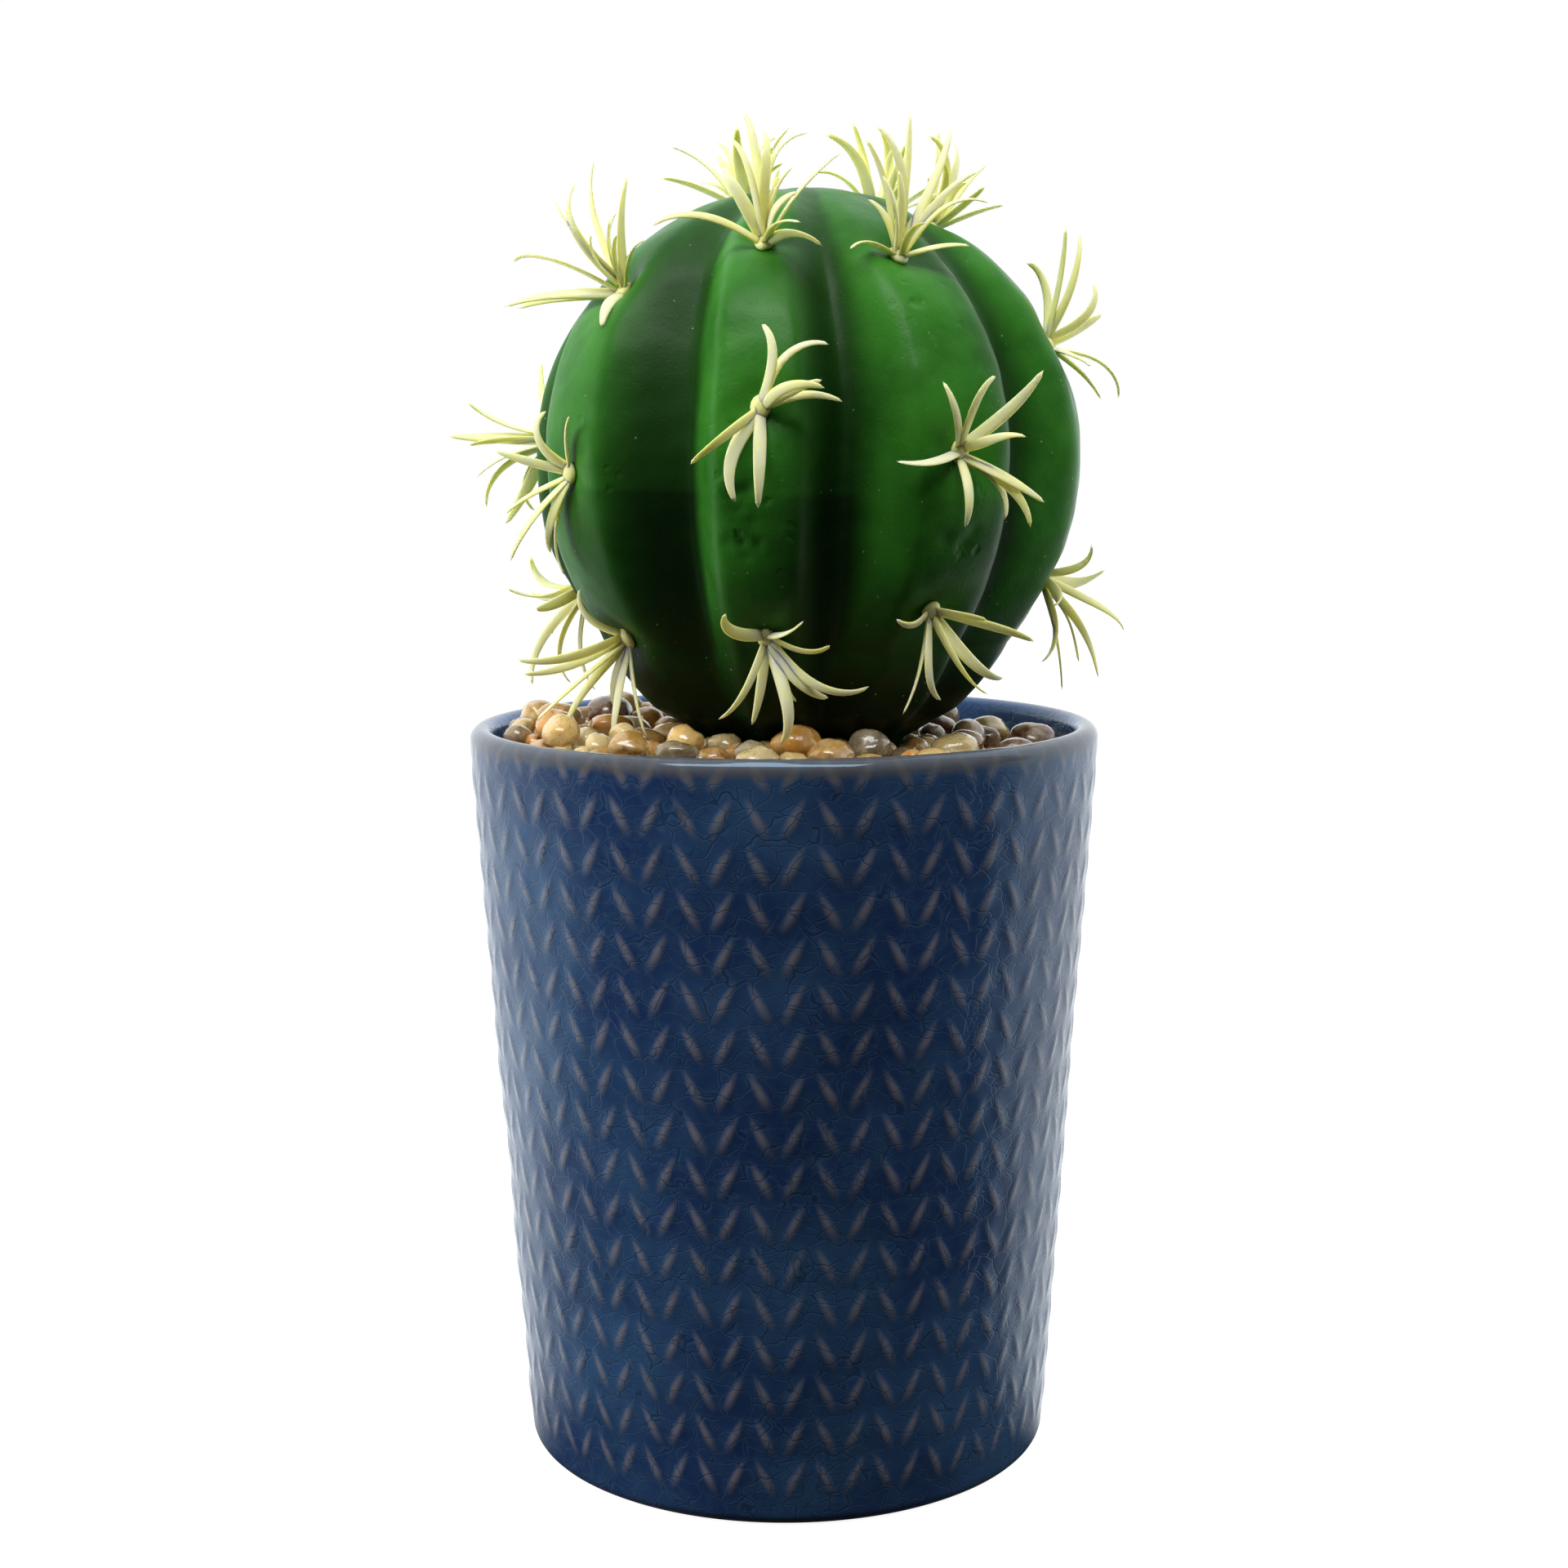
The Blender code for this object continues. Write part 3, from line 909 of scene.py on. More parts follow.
@dataclass(frozen=True)
class CactusSkin:
    """Satin moulded skin: mid green, painted shade in the furrows and low down, pits, dust and a few red
    specks.
    """

    light: Colour = (0.038, 0.205, 0.017)
    dark: Colour = (0.021, 0.125, 0.011)
    streak: Colour = (0.055, 0.24, 0.03)
    # Painted shade: near black, laid where the light doesn't reach: furrows, right flanks, lower faces and
    # feet.
    furrow: Colour = (0.0015, 0.006, 0.0015)
    dust: Colour = (0.30, 0.42, 0.20)
    speck: Colour = (0.22, 0.035, 0.02)

    def material(self) -> bpy.types.Material:
        """Builds the node tree.

        Returns:
            The finished material, which reads furrow, the painted shade, and pitted from the mesh.
        """
        nodes = Nodes("cactus_skin")
        maths, mix, ramp, noise = nodes.maths, nodes.mix, nodes.ramp, nodes.noise
        furrow, pitted = nodes.stored("furrow"), nodes.stored("pitted")
        green = mix(ramp(noise(22 * MM, 4.0), 0.34, 0.68), self.dark, self.light)
        streaked = ramp(noise(3.5 * MM, 4.0, distortion=0.6), 0.35, 0.75, 0.0, 0.22)
        green = mix(streaked, green, self.streak)
        # Painted shade: the furrow attribute darkens the skin towards near black.
        green = mix(maths("MULTIPLY", furrow, 0.95), green, self.furrow)
        dusty = ramp(noise(9 * MM, 2.0), 0.45, 0.62)
        dust = maths("MULTIPLY", ramp(nodes.cells(2.6 * MM), 0.04, 0.09, 1.0, 0.0), dusty)
        green = mix(maths("MULTIPLY", dust, 0.85), green, self.dust)
        red = ramp(nodes.cells(9 * MM), 0.025, 0.05, 1.0, 0.0)
        green = mix(maths("MULTIPLY", red, pitted), green, self.speck)

        gloss = ramp(noise(7 * MM), 0.3, 0.75, 0.31, 0.42)
        normal = nodes.bump(noise(5 * MM), 0.13 * MM)
        normal = nodes.bump(noise(0.55 * MM, 2.0), 0.035 * MM, normal)
        normal = nodes.bump(ramp(nodes.cells(1.5 * MM), 0.05, 0.16), 0.03 * MM, normal)
        pock = ramp(nodes.cells(4.2 * MM, "F1", nodes.warped(3 * MM, 2.5 * MM)), 0.10, 0.34, 1.0, 0.0)
        pock = maths("MULTIPLY", maths("MULTIPLY", pock, pitted), ramp(noise(6 * MM), 0.42, 0.6))
        return nodes.finish(
            Base_Color=green,
            Roughness=maths("MULTIPLY_ADD", furrow, 0.12, gloss),
            Normal=nodes.bump(maths("SUBTRACT", 1.0, pock), 0.22 * MM, normal),
            Specular_IOR_Level=0.15,
        )


@dataclass(frozen=True)
class DentBunch:
    """A bunch of moulding dents: its place and angle on the skin, their number and spread in mm."""

    place: float
    degrees: float
    count: int
    spread: float


BUNCHES = (
    DentBunch(6.95, 8.0, 5, 3.5),
    DentBunch(6.93, -8.0, 9, 4.0),
    DentBunch(6.93, -16.0, 7, 4.0),
    DentBunch(6.12, -2.0, 7, 4.0),
    DentBunch(1.02, -14.0, 3, 5.0),
    DentBunch(1.0, 36.0, 2, 5.0),
    DentBunch(3.0, -5.0, 6, 5.0),
    DentBunch(4.1, -14.0, 5, 5.0),
    DentBunch(5.0, 20.0, 4, 5.0),
)


@dataclass(frozen=True)
class CactusBody:
    """The moulded ball: seven ribs with steep narrow furrows, a dip at each tuft, and a stem."""

    centre: tuple[float, float, float] = (4.2 * MM, 0.0, 190.0 * MM)
    lean: float = math.radians(1.5)
    radius: float = 52.0 * MM
    crown_share: float = 0.955
    crown_sink: float = 0.25 * MM
    foot_swell: float = 0.35
    furrow_depth: float = 0.20
    rib_breadth: float = 1.6
    shoulder: float = 0.7 * MM
    twist: float = math.radians(-9.0)
    notch_depth: float = 1.8 * MM
    notch_reach: float = 5.5 * MM
    stem_radius: float = 17.0 * MM
    stem_top: float = 130.0 * MM
    stem_foot: float = 114.0 * MM
    socket_radius: float = 19.0 * MM
    socket_height: float = 137.0 * MM
    closing_shares: tuple[float, ...] = (0.35, 0.7, 1.0)
    angles: tuple[float, float] = (86.0, -57.0)
    per_rib: int = 64
    levels: int = 208
    skin: CactusSkin = field(default_factory=CactusSkin)

    def ridge_line(self, angle: Array) -> tuple[Array, Array]:
        """The outline of a ridge.

        A circle whose upper half is flattened by crown_share, and which swells near the ribs'
        feet by foot_swell times the amount by which -sin(angle) passes 0.65.

        Args:
            angle: Angles above the widest level.

        Returns:
            The radius and the height at each.
        """
        sine = np.sin(angle)
        grown = self.radius * (1 + self.foot_swell * np.maximum(0, -sine - 0.65))
        return grown * np.cos(angle), grown * np.where(angle > 0, self.crown_share, 1.0) * sine

    def azimuth(self, place: Array, angle: Array) -> Array:
        """The azimuth of places round the ribs, where whole numbers are ridges and halves furrows.

        Linear from each ridge to its furrow and on to the next ridge, plus the twist times the
        squared sine of the angle on the upper half.

        Args:
            place: Places round the ribs.
            angle: Angles above the widest level.

        Returns:
            The azimuths in radians.
        """
        marks = np.array([value for rib in RIBS for value in (rib.ridge, rib.furrow)], float)
        marks = np.append(marks, marks[0] + 360)
        steps = np.arange(len(marks)) / 2
        degrees = np.interp(place % len(RIBS), steps, marks)
        return np.radians(degrees) + self.twist * np.maximum(0, np.sin(angle)) ** 2

    def groove(self, place: Array, angle: Array) -> Array:
        """Depth of the furrows.

        With t the distance from the ridge, 0 to 1 at the furrow, it is furrow_depth times
        (1 - cos(pi t^1.6)) / 2 times the cosine of the angle to the power 0.35.

        Args:
            place: Places round the ribs.
            angle: Angles above the widest level.

        Returns:
            The depths as shares of the ridge's radius.
        """
        away = np.abs(place - np.round(place)) * 2
        fade = np.maximum(0, np.cos(angle)) ** 0.35
        return self.furrow_depth * fade * (1 - np.cos(np.pi * away**self.rib_breadth)) / 2

    def notches(self, place: Array, angle: Array, radius: Array) -> Array:
        """Depth of the dips round the tufts: exp(-d^2 / reach^2) of the distance d over the skin.

        Args:
            place: Places round the ribs.
            angle: Angles above the widest level.
            radius: The ridge's radius at those angles.

        Returns:
            The depths in metres.
        """
        here = self.azimuth(place, angle)
        depth = np.zeros(np.broadcast(place, angle).shape)
        for number, rib in enumerate(RIBS):
            turn = here - self.azimuth(np.array(float(number)), angle)
            aside = radius * ((turn + np.pi) % (2 * np.pi) - np.pi)
            for tuft, deeper in zip(rib.tufts, rib.deeper):
                along = self.radius * (angle - math.radians(tuft))
                bell = np.exp(-(along**2 + aside**2) / self.notch_reach**2)
                depth = depth + (self.notch_depth + deeper) * bell
        return depth

    def skin_points(self, place: Array, angle: Array) -> Array:
        """Points of the smooth ribbed skin.

        The ridge line, sunk by the grooves and the dips, turned to its azimuth, then leant
        towards +X about the centre.

        Args:
            place: Places round the ribs.
            angle: Angles above the widest level.

        Returns:
            Positions in the row frame.
        """
        radius, height = self.ridge_line(angle)
        dip = self.notches(place, angle, radius)
        radius = radius * (1 - self.groove(place, angle)) - dip * np.cos(angle)
        height = height - dip * np.sin(angle)
        upright = circle_points(radius, self.azimuth(place, angle), height)
        x, y, z = np.moveaxis(upright, -1, 0)
        cosine, sine = math.cos(self.lean), math.sin(self.lean)
        return np.stack([cosine * x + sine * z, y, cosine * z - sine * x], -1) + np.array(self.centre)

    def shade(self, place: Array, angle: Array) -> Array:
        """How much painted shade lies on the skin.

        It fills the furrows, reaches further up the flank on each ridge's right, which faces away from the
        light, and fades towards the crown. Below a level some 7 degrees under the widest one the faces get
        more painted shade, and the feet the most.
        Each is a smooth step, and together they leave (1 - sides) (1 - faces) bare.

        Args:
            place: Places round the ribs.
            angle: Angles above the widest level.

        Returns:
            The painted shade's strength, from 0 to 1.
        """
        signed = (place - np.round(place)) * 2
        low = -np.sin(angle)
        below = smooth_step(math.radians(6.0), math.radians(7.5), -angle)
        # Painted shade in the furrows and on the right flanks, away from the light.
        sides = np.maximum(smooth_step(0.08, 0.74, signed), smooth_step(0.62, 0.94, -signed))
        sides = (0.84 + 0.13 * below) * sides * np.maximum(0, np.cos(angle)) ** 0.5
        # Painted shade on the lower faces, below the light from above.
        faces = (0.16 + 0.4 * smooth_step(0.0, 0.7, low)) * below * smooth_step(-0.5, 0.1, signed)
        # Painted shade at the feet.
        feet = 0.97 * smooth_step(0.30, 0.80, low)
        return np.maximum(1 - (1 - sides) * (1 - faces), feet)

    def dents(self, points: Array) -> tuple[Array, Array]:
        """Small moulding dents: exp(-d^2 / reach^2) pits, drawn at random round each bunch's place.

        Args:
            points: Points of the skin.

        Returns:
            How deep each point is pushed in, and how near it is to a bunch, from 0 to 1.
        """
        rng = np.random.default_rng(12)
        depth = np.zeros(points.shape[:-1])
        near = np.zeros(points.shape[:-1])
        for bunch in BUNCHES:
            middle = self.skin_points(np.array(bunch.place), np.array(math.radians(bunch.degrees)))
            distance = np.linalg.norm(points - middle, axis=-1)
            near = np.maximum(near, 1 - smooth_step(4 * MM, 12 * MM, distance))
            for _ in range(bunch.count):
                centre = middle + 0.8 * rng.normal(0, bunch.spread * MM * 0.6, 3)
                pit = rng.uniform(0.25, 0.6) * MM
                reach = rng.uniform(0.9, 1.6) * MM
                away = np.linalg.norm(points - centre, axis=-1)
                depth = depth + pit * np.exp(-((away / reach) ** 2))
        return depth, near

    def lumps(self, place: Array, angle: Array, points: Array) -> Array:
        """How far the moulding stands out of the smooth skin.

        Two soft noises plus a swell of shoulder exp(-((t - 0.42) / 0.13)^2) cos^2(angle) beside
        each ridge, with t as in the groove, all fading towards the crown and the feet.

        Args:
            place: Places round the ribs.
            angle: Angles above the widest level.
            points: The skin's points there.

        Returns:
            Lengths in metres.
        """
        away = np.abs(place - np.round(place)) * 2
        rough = 0.13 * MM * soft_noise(points, 17 * MM, 8) + 0.03 * MM * soft_noise(points, 6 * MM, 9)
        swell = self.shoulder * np.exp(-(((away - 0.42) / 0.13) ** 2)) * np.cos(angle) ** 2
        return (rough + swell) * (0.35 + 0.65 * np.cos(angle))

    def stem_rings(self, columns: Array) -> Array:
        """The socket under the ball and the two ends of the stem, as plain circles.

        Args:
            columns: Azimuths of the skin's columns.

        Returns:
            Three rings of positions, from the top.
        """
        rings = (
            (self.socket_radius, self.socket_height),
            (self.stem_radius, self.stem_top),
            (self.stem_radius, self.stem_foot),
        )
        axis = np.array([self.centre[0], 0.0, 0.0])
        return np.array([circle_points(radius, columns, height) + axis for radius, height in rings])

    def build(self) -> bpy.types.Object:
        """Builds the ball and its stem as one closed skin.

        Returns:
            The body, standing for the CAD node cactus_body.
        """
        columns = self.per_rib * len(RIBS)
        place = np.arange(columns) / self.per_rib
        places, angles = np.meshgrid(place, np.radians(np.linspace(*self.angles, self.levels)))
        points = self.skin_points(places, angles)
        outward = points - np.array(self.centre)
        outward /= np.linalg.norm(outward, axis=-1, keepdims=True)
        depth, near = self.dents(points)
        points = points + outward * (self.lumps(places, angles, points) - depth)[..., None]

        socket, *stem = self.stem_rings(self.azimuth(place, np.zeros(columns)))
        closing = [points[-1] * (1 - share) + socket * share for share in self.closing_shares]
        added = np.array([*closing, *stem])
        crown = points[0].mean(0) - np.array([0, 0, self.crown_sink])
        under = np.array([self.centre[0], 0, self.stem_foot])
        every = np.vstack([points.reshape(-1, 3), added.reshape(-1, 3), crown, under])
        faces = closed_faces(self.levels + len(added), columns)

        hidden = len(added) * columns
        # The furrow attribute carries the painted shade; the hidden rings and the underside are fully
        # shaded.
        furrow = np.concatenate([self.shade(places, angles).ravel(), np.ones(hidden), [0, 1]])
        pitted = np.concatenate([near.ravel(), np.zeros(hidden + 2)])
        body = put_mesh(
            "cactus_skin_body",
            every,
            [block[:, ::-1] for block in faces],
            self.skin.material(),
            attributes={"furrow": furrow, "pitted": pitted},
        )
        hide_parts("cactus_body")
        return body

    def tuft_frame(self, rib: int, row: Row) -> Array:
        """Where a tuft stands.

        Args:
            rib: The number of its rib.
            row: Its row.

        Returns:
            Four columns: its side, up the rib, out of the skin, and its position.
        """
        angle = math.radians(RIBS[rib].tufts[row.value])
        step = math.radians(1.0)
        place = np.array(float(rib))
        below, here, above = (self.skin_points(place, np.array(angle + turn)) for turn in (-step, 0, step))
        up = (above - below) / np.linalg.norm(above - below)
        azimuth = float(self.azimuth(place, np.array(angle)))
        out = np.cross([math.cos(azimuth), math.sin(azimuth), 0.0], up)
        out /= np.linalg.norm(out)
        return np.column_stack([np.cross(up, out), up, out, here])


# ---------------------------------------------------------------- spine tufts


@dataclass(frozen=True)
class SpineVinyl:
    """Soft translucent vinyl: a whitish core and yellow edges."""

    core: Colour = (0.985, 0.965, 0.60)
    edge: Colour = (0.975, 0.92, 0.30)

    def material(self) -> bpy.types.Material:
        """Builds the node tree.

        Returns:
            The finished material, which reads edge and tone from the mesh.
        """
        nodes = Nodes("spine_vinyl")
        maths, ramp, noise = nodes.maths, nodes.ramp, nodes.noise
        edge, tone = nodes.stored("edge"), nodes.stored("tone")
        cloudy = ramp(noise(3.0 * MM), 0.3, 0.7, -0.25, 0.25)
        share = maths("ADD", maths("MULTIPLY", edge, 0.75), cloudy, clamp=True)
        share = maths("MULTIPLY_ADD", tone, 0.6, maths("SUBTRACT", share, 0.3), clamp=True)
        return nodes.finish(
            Base_Color=nodes.mix(share, self.core, self.edge),
            Roughness=ramp(noise(2.0 * MM, 2.0), 0.3, 0.7, 0.28, 0.44),
            Normal=nodes.bump(noise(0.9 * MM, 2.0), 0.04 * MM),
            Subsurface_Weight=1.0,
            Subsurface_Radius=(1.0, 0.95, 0.5),
            Subsurface_Scale=0.6 * MM,
            Transmission_Weight=0.05,
            Specular_IOR_Level=0.3,
        )


@dataclass(frozen=True)
class Strand:
    """One blade of a tuft, which may be forked by a twig.

    Its clock angle facing the skin and its rise out of it are in degrees, and its length is in
    millimetres.
    """

    clock: float
    rise: float
    length: float
    forked: bool = False


def strands(*facts: tuple) -> tuple[Strand, ...]:
    """A spray of strands.

    Args:
        facts: The fields of each strand.

    Returns:
        The strands.
    """
    return tuple(Strand(*row) for row in facts)


PLAIN_SPRAY = strands(
    (5, 30, 15), (48, 45, 16), (88, 28, 14), (130, 50, 13),
    (178, 32, 15), (222, 42, 14), (268, 30, 15), (315, 55, 13)
)
SPRAYS = {
    "front_top": strands(
        (262, 18, 21), (318, 45, 15), (338, 58, 20), (352, 50, 23), (14, 50, 21),
        (32, 40, 22), (60, 32, 21), (85, 50, 12), (118, 8, 14)
    ),
    "front_middle": strands(
        (6, 20, 16), (55, 8, 18), (84, 34, 16), (76, 26, 13),
        (92, 12, 15), (231, 8, 16), (192, 6, 17), (181, 4, 17)
    ),
    "front_low": strands(
        (328, 18, 12), (45, 20, 11), (75, 20, 13), (108, 12, 22), (126, 22, 16),
        (150, 30, 12), (166, 38, 20), (192, 36, 15), (218, 36, 17)
    ),
    "front_right_top": strands(
        (262, 12, 12), (338, 46, 20), (352, 44, 23), (15, 46, 24), (42, 50, 23),
        (75, 50, 20), (98, 44, 19), (120, 30, 12), (310, 60, 15)
    ),
    "front_right_middle": strands(
        (332, 14, 14), (16, 20, 16), (36, 34, 19), (62, 60, 13),
        (128, 34, 17), (146, 30, 18, True), (188, 16, 14), (264, 4, 14)
    ),
    "front_right_low": strands(
        (272, 12, 9), (200, 30, 18), (178, 36, 17), (140, 48, 18), (122, 32, 19), (60, 50, 10), (84, 38, 19)
    ),
    "right_top": strands(
        (332, 58, 18), (5, 68, 17), (60, 72, 17), (118, 66, 16), (170, 45, 13), (232, 50, 13), (290, 52, 14)
    ),
    "right_middle": strands(
        (352, 8, 17), (352, 34, 21), (6, 42, 21), (34, 60, 16),
        (92, 58, 14), (172, 25, 18), (200, 16, 14), (238, 20, 12)
    ),
    "right_low": strands(
        (322, 20, 13), (58, 40, 17), (100, 66, 22), (150, 52, 24, True),
        (176, 36, 22), (200, 22, 17), (250, 12, 12)
    ),
    "back_right_top": strands(
        (20, 36, 20), (8, 52, 19), (346, 66, 19), (328, 60, 16),
        (44, 22, 16), (120, 45, 13), (200, 42, 14), (262, 36, 15)
    ),
    "back_left_top": strands(
        (142, 44, 19), (158, 32, 16), (2, 46, 16), (302, 50, 17), (60, 60, 15), (232, 55, 15), (270, 40, 14)
    ),
    "back_left_middle": strands(
        (345, 16, 15), (48, 60, 18), (100, 72, 20, True), (150, 56, 16),
        (166, 38, 19), (172, 24, 18), (194, 12, 16)
    ),
    "back_left_low": strands(
        (330, 32, 17), (300, 50, 18), (250, 50, 19), (150, 50, 23),
        (166, 34, 20), (186, 26, 20), (90, 32, 13), (20, 52, 17)
    ),
    "left_top": strands(
        (262, 36, 25), (240, 26, 20), (228, 34, 21), (318, 66, 21), (336, 60, 23),
        (352, 48, 24), (16, 40, 20), (62, 26, 12), (152, 5, 12)
    ),
    "left_middle": strands(
        (352, 12, 13), (30, 12, 11), (292, 40, 14), (236, 34, 14),
        (202, 30, 19), (190, 12, 15), (178, 6, 18)
    ),
    "left_low": strands(
        (344, 8, 13), (300, 58, 21), (280, 58, 20), (236, 58, 23),
        (214, 50, 23), (192, 30, 14), (180, 40, 18), (164, 24, 18)
    ),
}


@dataclass(frozen=True)
class Blade:
    """A strand as it is moulded: where it starts, how it bends and lies, and its own yellow.

    The curl bends it back towards the skin, the sway sideways, and the roll turns its flat about
    the midline, all in radians. Its breadth is a share of the common one.
    """

    root: Array
    strand: Strand
    curl: float
    sway: float
    roll: float
    breadth: float
    tone: float


@dataclass(frozen=True)
class SpineTufts:
    """The sprays of soft blades, one on each plug, each on a small hub."""

    width: float = 2.0 * MM
    thickness: float = 0.55 * MM
    rings: int = 18
    around: int = 10
    hub: tuple[float, float, float] = (1.8 * MM, 2.2 * MM, 0.9 * MM)
    hub_rise: float = 0.6 * MM
    hub_latitude: float = 75.0
    hub_rings: int = 7
    hub_around: int = 14
    hub_edge: float = 0.9
    hub_tone: float = 0.45
    extra: int = 4
    vinyl: SpineVinyl = field(default_factory=SpineVinyl)

    def blade_points(self, blade: Blade) -> tuple[Array, Array]:
        """One blade in the tuft's own axes.

        With s from 0 at the root to 1 at the tip, its direction's rise is less by curl (s^2 - 0.35)
        and its clock angle is more by sway (s^1.7 - 0.4); the midline is the sum of the steps. The
        width is (0.8 + 0.25 sin(pi s^0.7)) (1 - 0.65 s^4), and the section is an ellipse.

        Args:
            blade: The blade.

        Returns:
            The points ring by ring with the tip last, and how near each is to the blade's edge.
        """
        share = np.linspace(0, 1, self.rings)
        rise = math.radians(blade.strand.rise) + blade.curl * (0.35 - share**2)
        clock = math.radians(blade.strand.clock) + blade.sway * (share**1.7 - 0.4)
        heading = np.stack([np.sin(clock) * np.cos(rise), np.cos(clock) * np.cos(rise), np.sin(rise)], -1)
        step = blade.strand.length * MM / (self.rings - 1)
        moves = np.cumsum((heading[1:] + heading[:-1]) / 2 * step, 0)
        midline = blade.root + np.vstack([np.zeros(3), moves])
        across = np.stack([np.cos(clock), -np.sin(clock), np.zeros(self.rings)], -1)
        lift = np.cross(across, heading)
        flat = across * math.cos(blade.roll) + lift * math.sin(blade.roll)
        thick = lift * math.cos(blade.roll) - across * math.sin(blade.roll)
        taper = (0.8 + 0.25 * np.sin(np.pi * share**0.7)) * (1 - 0.65 * share**4)
        width = blade.breadth * self.width / 2 * taper
        depth = self.thickness / 2 * (1.35 - 0.75 * share)
        turn = np.arange(self.around) * 2 * np.pi / self.around
        section = flat[:-1, None] * (width[:-1, None] * np.cos(turn))[..., None]
        section = section + thick[:-1, None] * (depth[:-1, None] * np.sin(turn))[..., None]
        points = (midline[:-1, None] + section).reshape(-1, 3)
        edge = np.tile(np.abs(np.cos(turn)) ** 2, self.rings - 1)
        return np.vstack([points, midline[-1]]), np.append(edge, 0.5)

    def blade_faces(self) -> list[Array]:
        """Faces of one blade.

        Returns:
            Its sides, the triangles at its tip, and a fan that closes its root.
        """
        rings = self.rings - 1
        left = np.arange(self.around)
        last = (rings - 1) * self.around
        tip = np.full(self.around, rings * self.around)
        fan = np.arange(1, self.around - 1)
        return [
            tube_faces(rings, self.around)[:, ::-1],
            np.stack([tip, last + (left + 1) % self.around, last + left], -1),
            np.stack([np.zeros_like(fan), fan, fan + 1], -1),
        ]

    def blades(self, label: str, row: Row, rng: np.random.Generator) -> list[Blade]:
        """The blades of one tuft: its spray, their twigs, and short extra ones on a top tuft.

        Args:
            label: The tuft's rib and row.
            row: Its row.
            rng: Where its random draws come from.

        Returns:
            The blades.
        """
        turned = 0.0 if label in SPRAYS else rng.uniform(0, 45)
        made = []
        for strand in SPRAYS.get(label, PLAIN_SPRAY):
            clock = math.radians(strand.clock + turned)
            root = np.array([math.sin(clock) * 0.7, math.cos(clock) * 1.1, 0.7]) * MM
            turned_strand = Strand(strand.clock + turned, strand.rise, strand.length)
            curl = math.radians(rng.uniform(10, 100))
            sway = math.radians(rng.normal(0, 45))
            breadth = rng.uniform(0.75, 1.2)
            roll, tone = rng.normal(0, 0.6), rng.uniform(0, 1)
            made.append(Blade(root, turned_strand, curl, sway, roll, breadth, tone))
            if strand.forked:
                twig = Strand(strand.clock + turned + 10, strand.rise - 6, strand.length * 0.8)
                made.append(Blade(root, twig, curl, sway + 0.5, 0.2, 0.8, 0.6))
        for _ in range(self.extra if row is Row.TOP else 0):
            clock = rng.uniform(0, 2 * np.pi)
            root = np.array([math.sin(clock) * 0.4, math.cos(clock) * 0.8, 1.2]) * MM
            short = Strand(math.degrees(clock), rng.uniform(30, 75), rng.uniform(9, 17))
            curl, sway = rng.uniform(0.2, 1.2), rng.normal(0, 0.5)
            made.append(Blade(root, short, curl, sway, 0.3, 0.8, rng.uniform(0, 1)))
        return made

    def build_one(
        self, body: CactusBody, rib: int, row: Row, finish: bpy.types.Material
    ) -> bpy.types.Object:
        """Builds one tuft on its plug.

        Args:
            body: The ball that it stands on.
            rib: The number of its rib.
            row: Its row.
            finish: The vinyl.

        Returns:
            The tuft, standing for its CAD node.
        """
        label = f"{RIBS[rib].name}_{row.label}"
        rng = np.random.default_rng(100 + rib * len(Row) + row.value)
        axes = body.tuft_frame(rib, row)
        latitudes = np.linspace(-self.hub_latitude, self.hub_latitude, self.hub_rings)
        hub = ball_points(latitudes, self.hub_around) * self.hub + np.array([0, 0, self.hub_rise])
        hub_faces = closed_faces(self.hub_rings, self.hub_around)
        edge, tone = np.array([self.hub_edge]), np.array([self.hub_tone])
        pile = Pile()
        pile.add(hub @ axes[:, :3].T + axes[:, 3], hub_faces, edge=edge, tone=tone)
        for blade in self.blades(label, row, rng):
            points, edge = self.blade_points(blade)
            tone = np.array([blade.tone])
            pile.add(points @ axes[:, :3].T + axes[:, 3], self.blade_faces(), edge=edge, tone=tone)
        tuft = pile.put(f"tuft_{label}", finish)
        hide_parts(f"spine_tuft_{label}")
        return tuft

    def build(self, body: CactusBody) -> list[bpy.types.Object]:
        """Builds every tuft of the ball.

        Args:
            body: The ball.

        Returns:
            The tufts, rib by rib.
        """
        finish = self.vinyl.material()
        return [self.build_one(body, rib, row, finish) for rib in range(len(RIBS)) for row in Row]


# ---------------------------------------------------------------- stones


class StoneColour(Enum):
    """The stones' colours: material slot, typical linear colour, and share of the fill stones."""

    OCHRE = ("stone_ochre", (0.52, 0.25, 0.042), 0.43)
    CREAM = ("stone_cream", (0.63, 0.45, 0.17), 0.39)
    MAROON = ("stone_maroon", (0.120, 0.040, 0.018), 0.08)
    GREY = ("stone_grey", (0.215, 0.150, 0.078), 0.10)

    def __init__(self, slot: str, colour: Colour, share: float) -> None:
        """Names the three values.

        Args:
            slot: The material slot's name in the record.
            colour: The colour of a typical stone.
            share: How many of the fill stones have it.
        """
        self.slot = slot
        self.colour = colour
        self.share = share


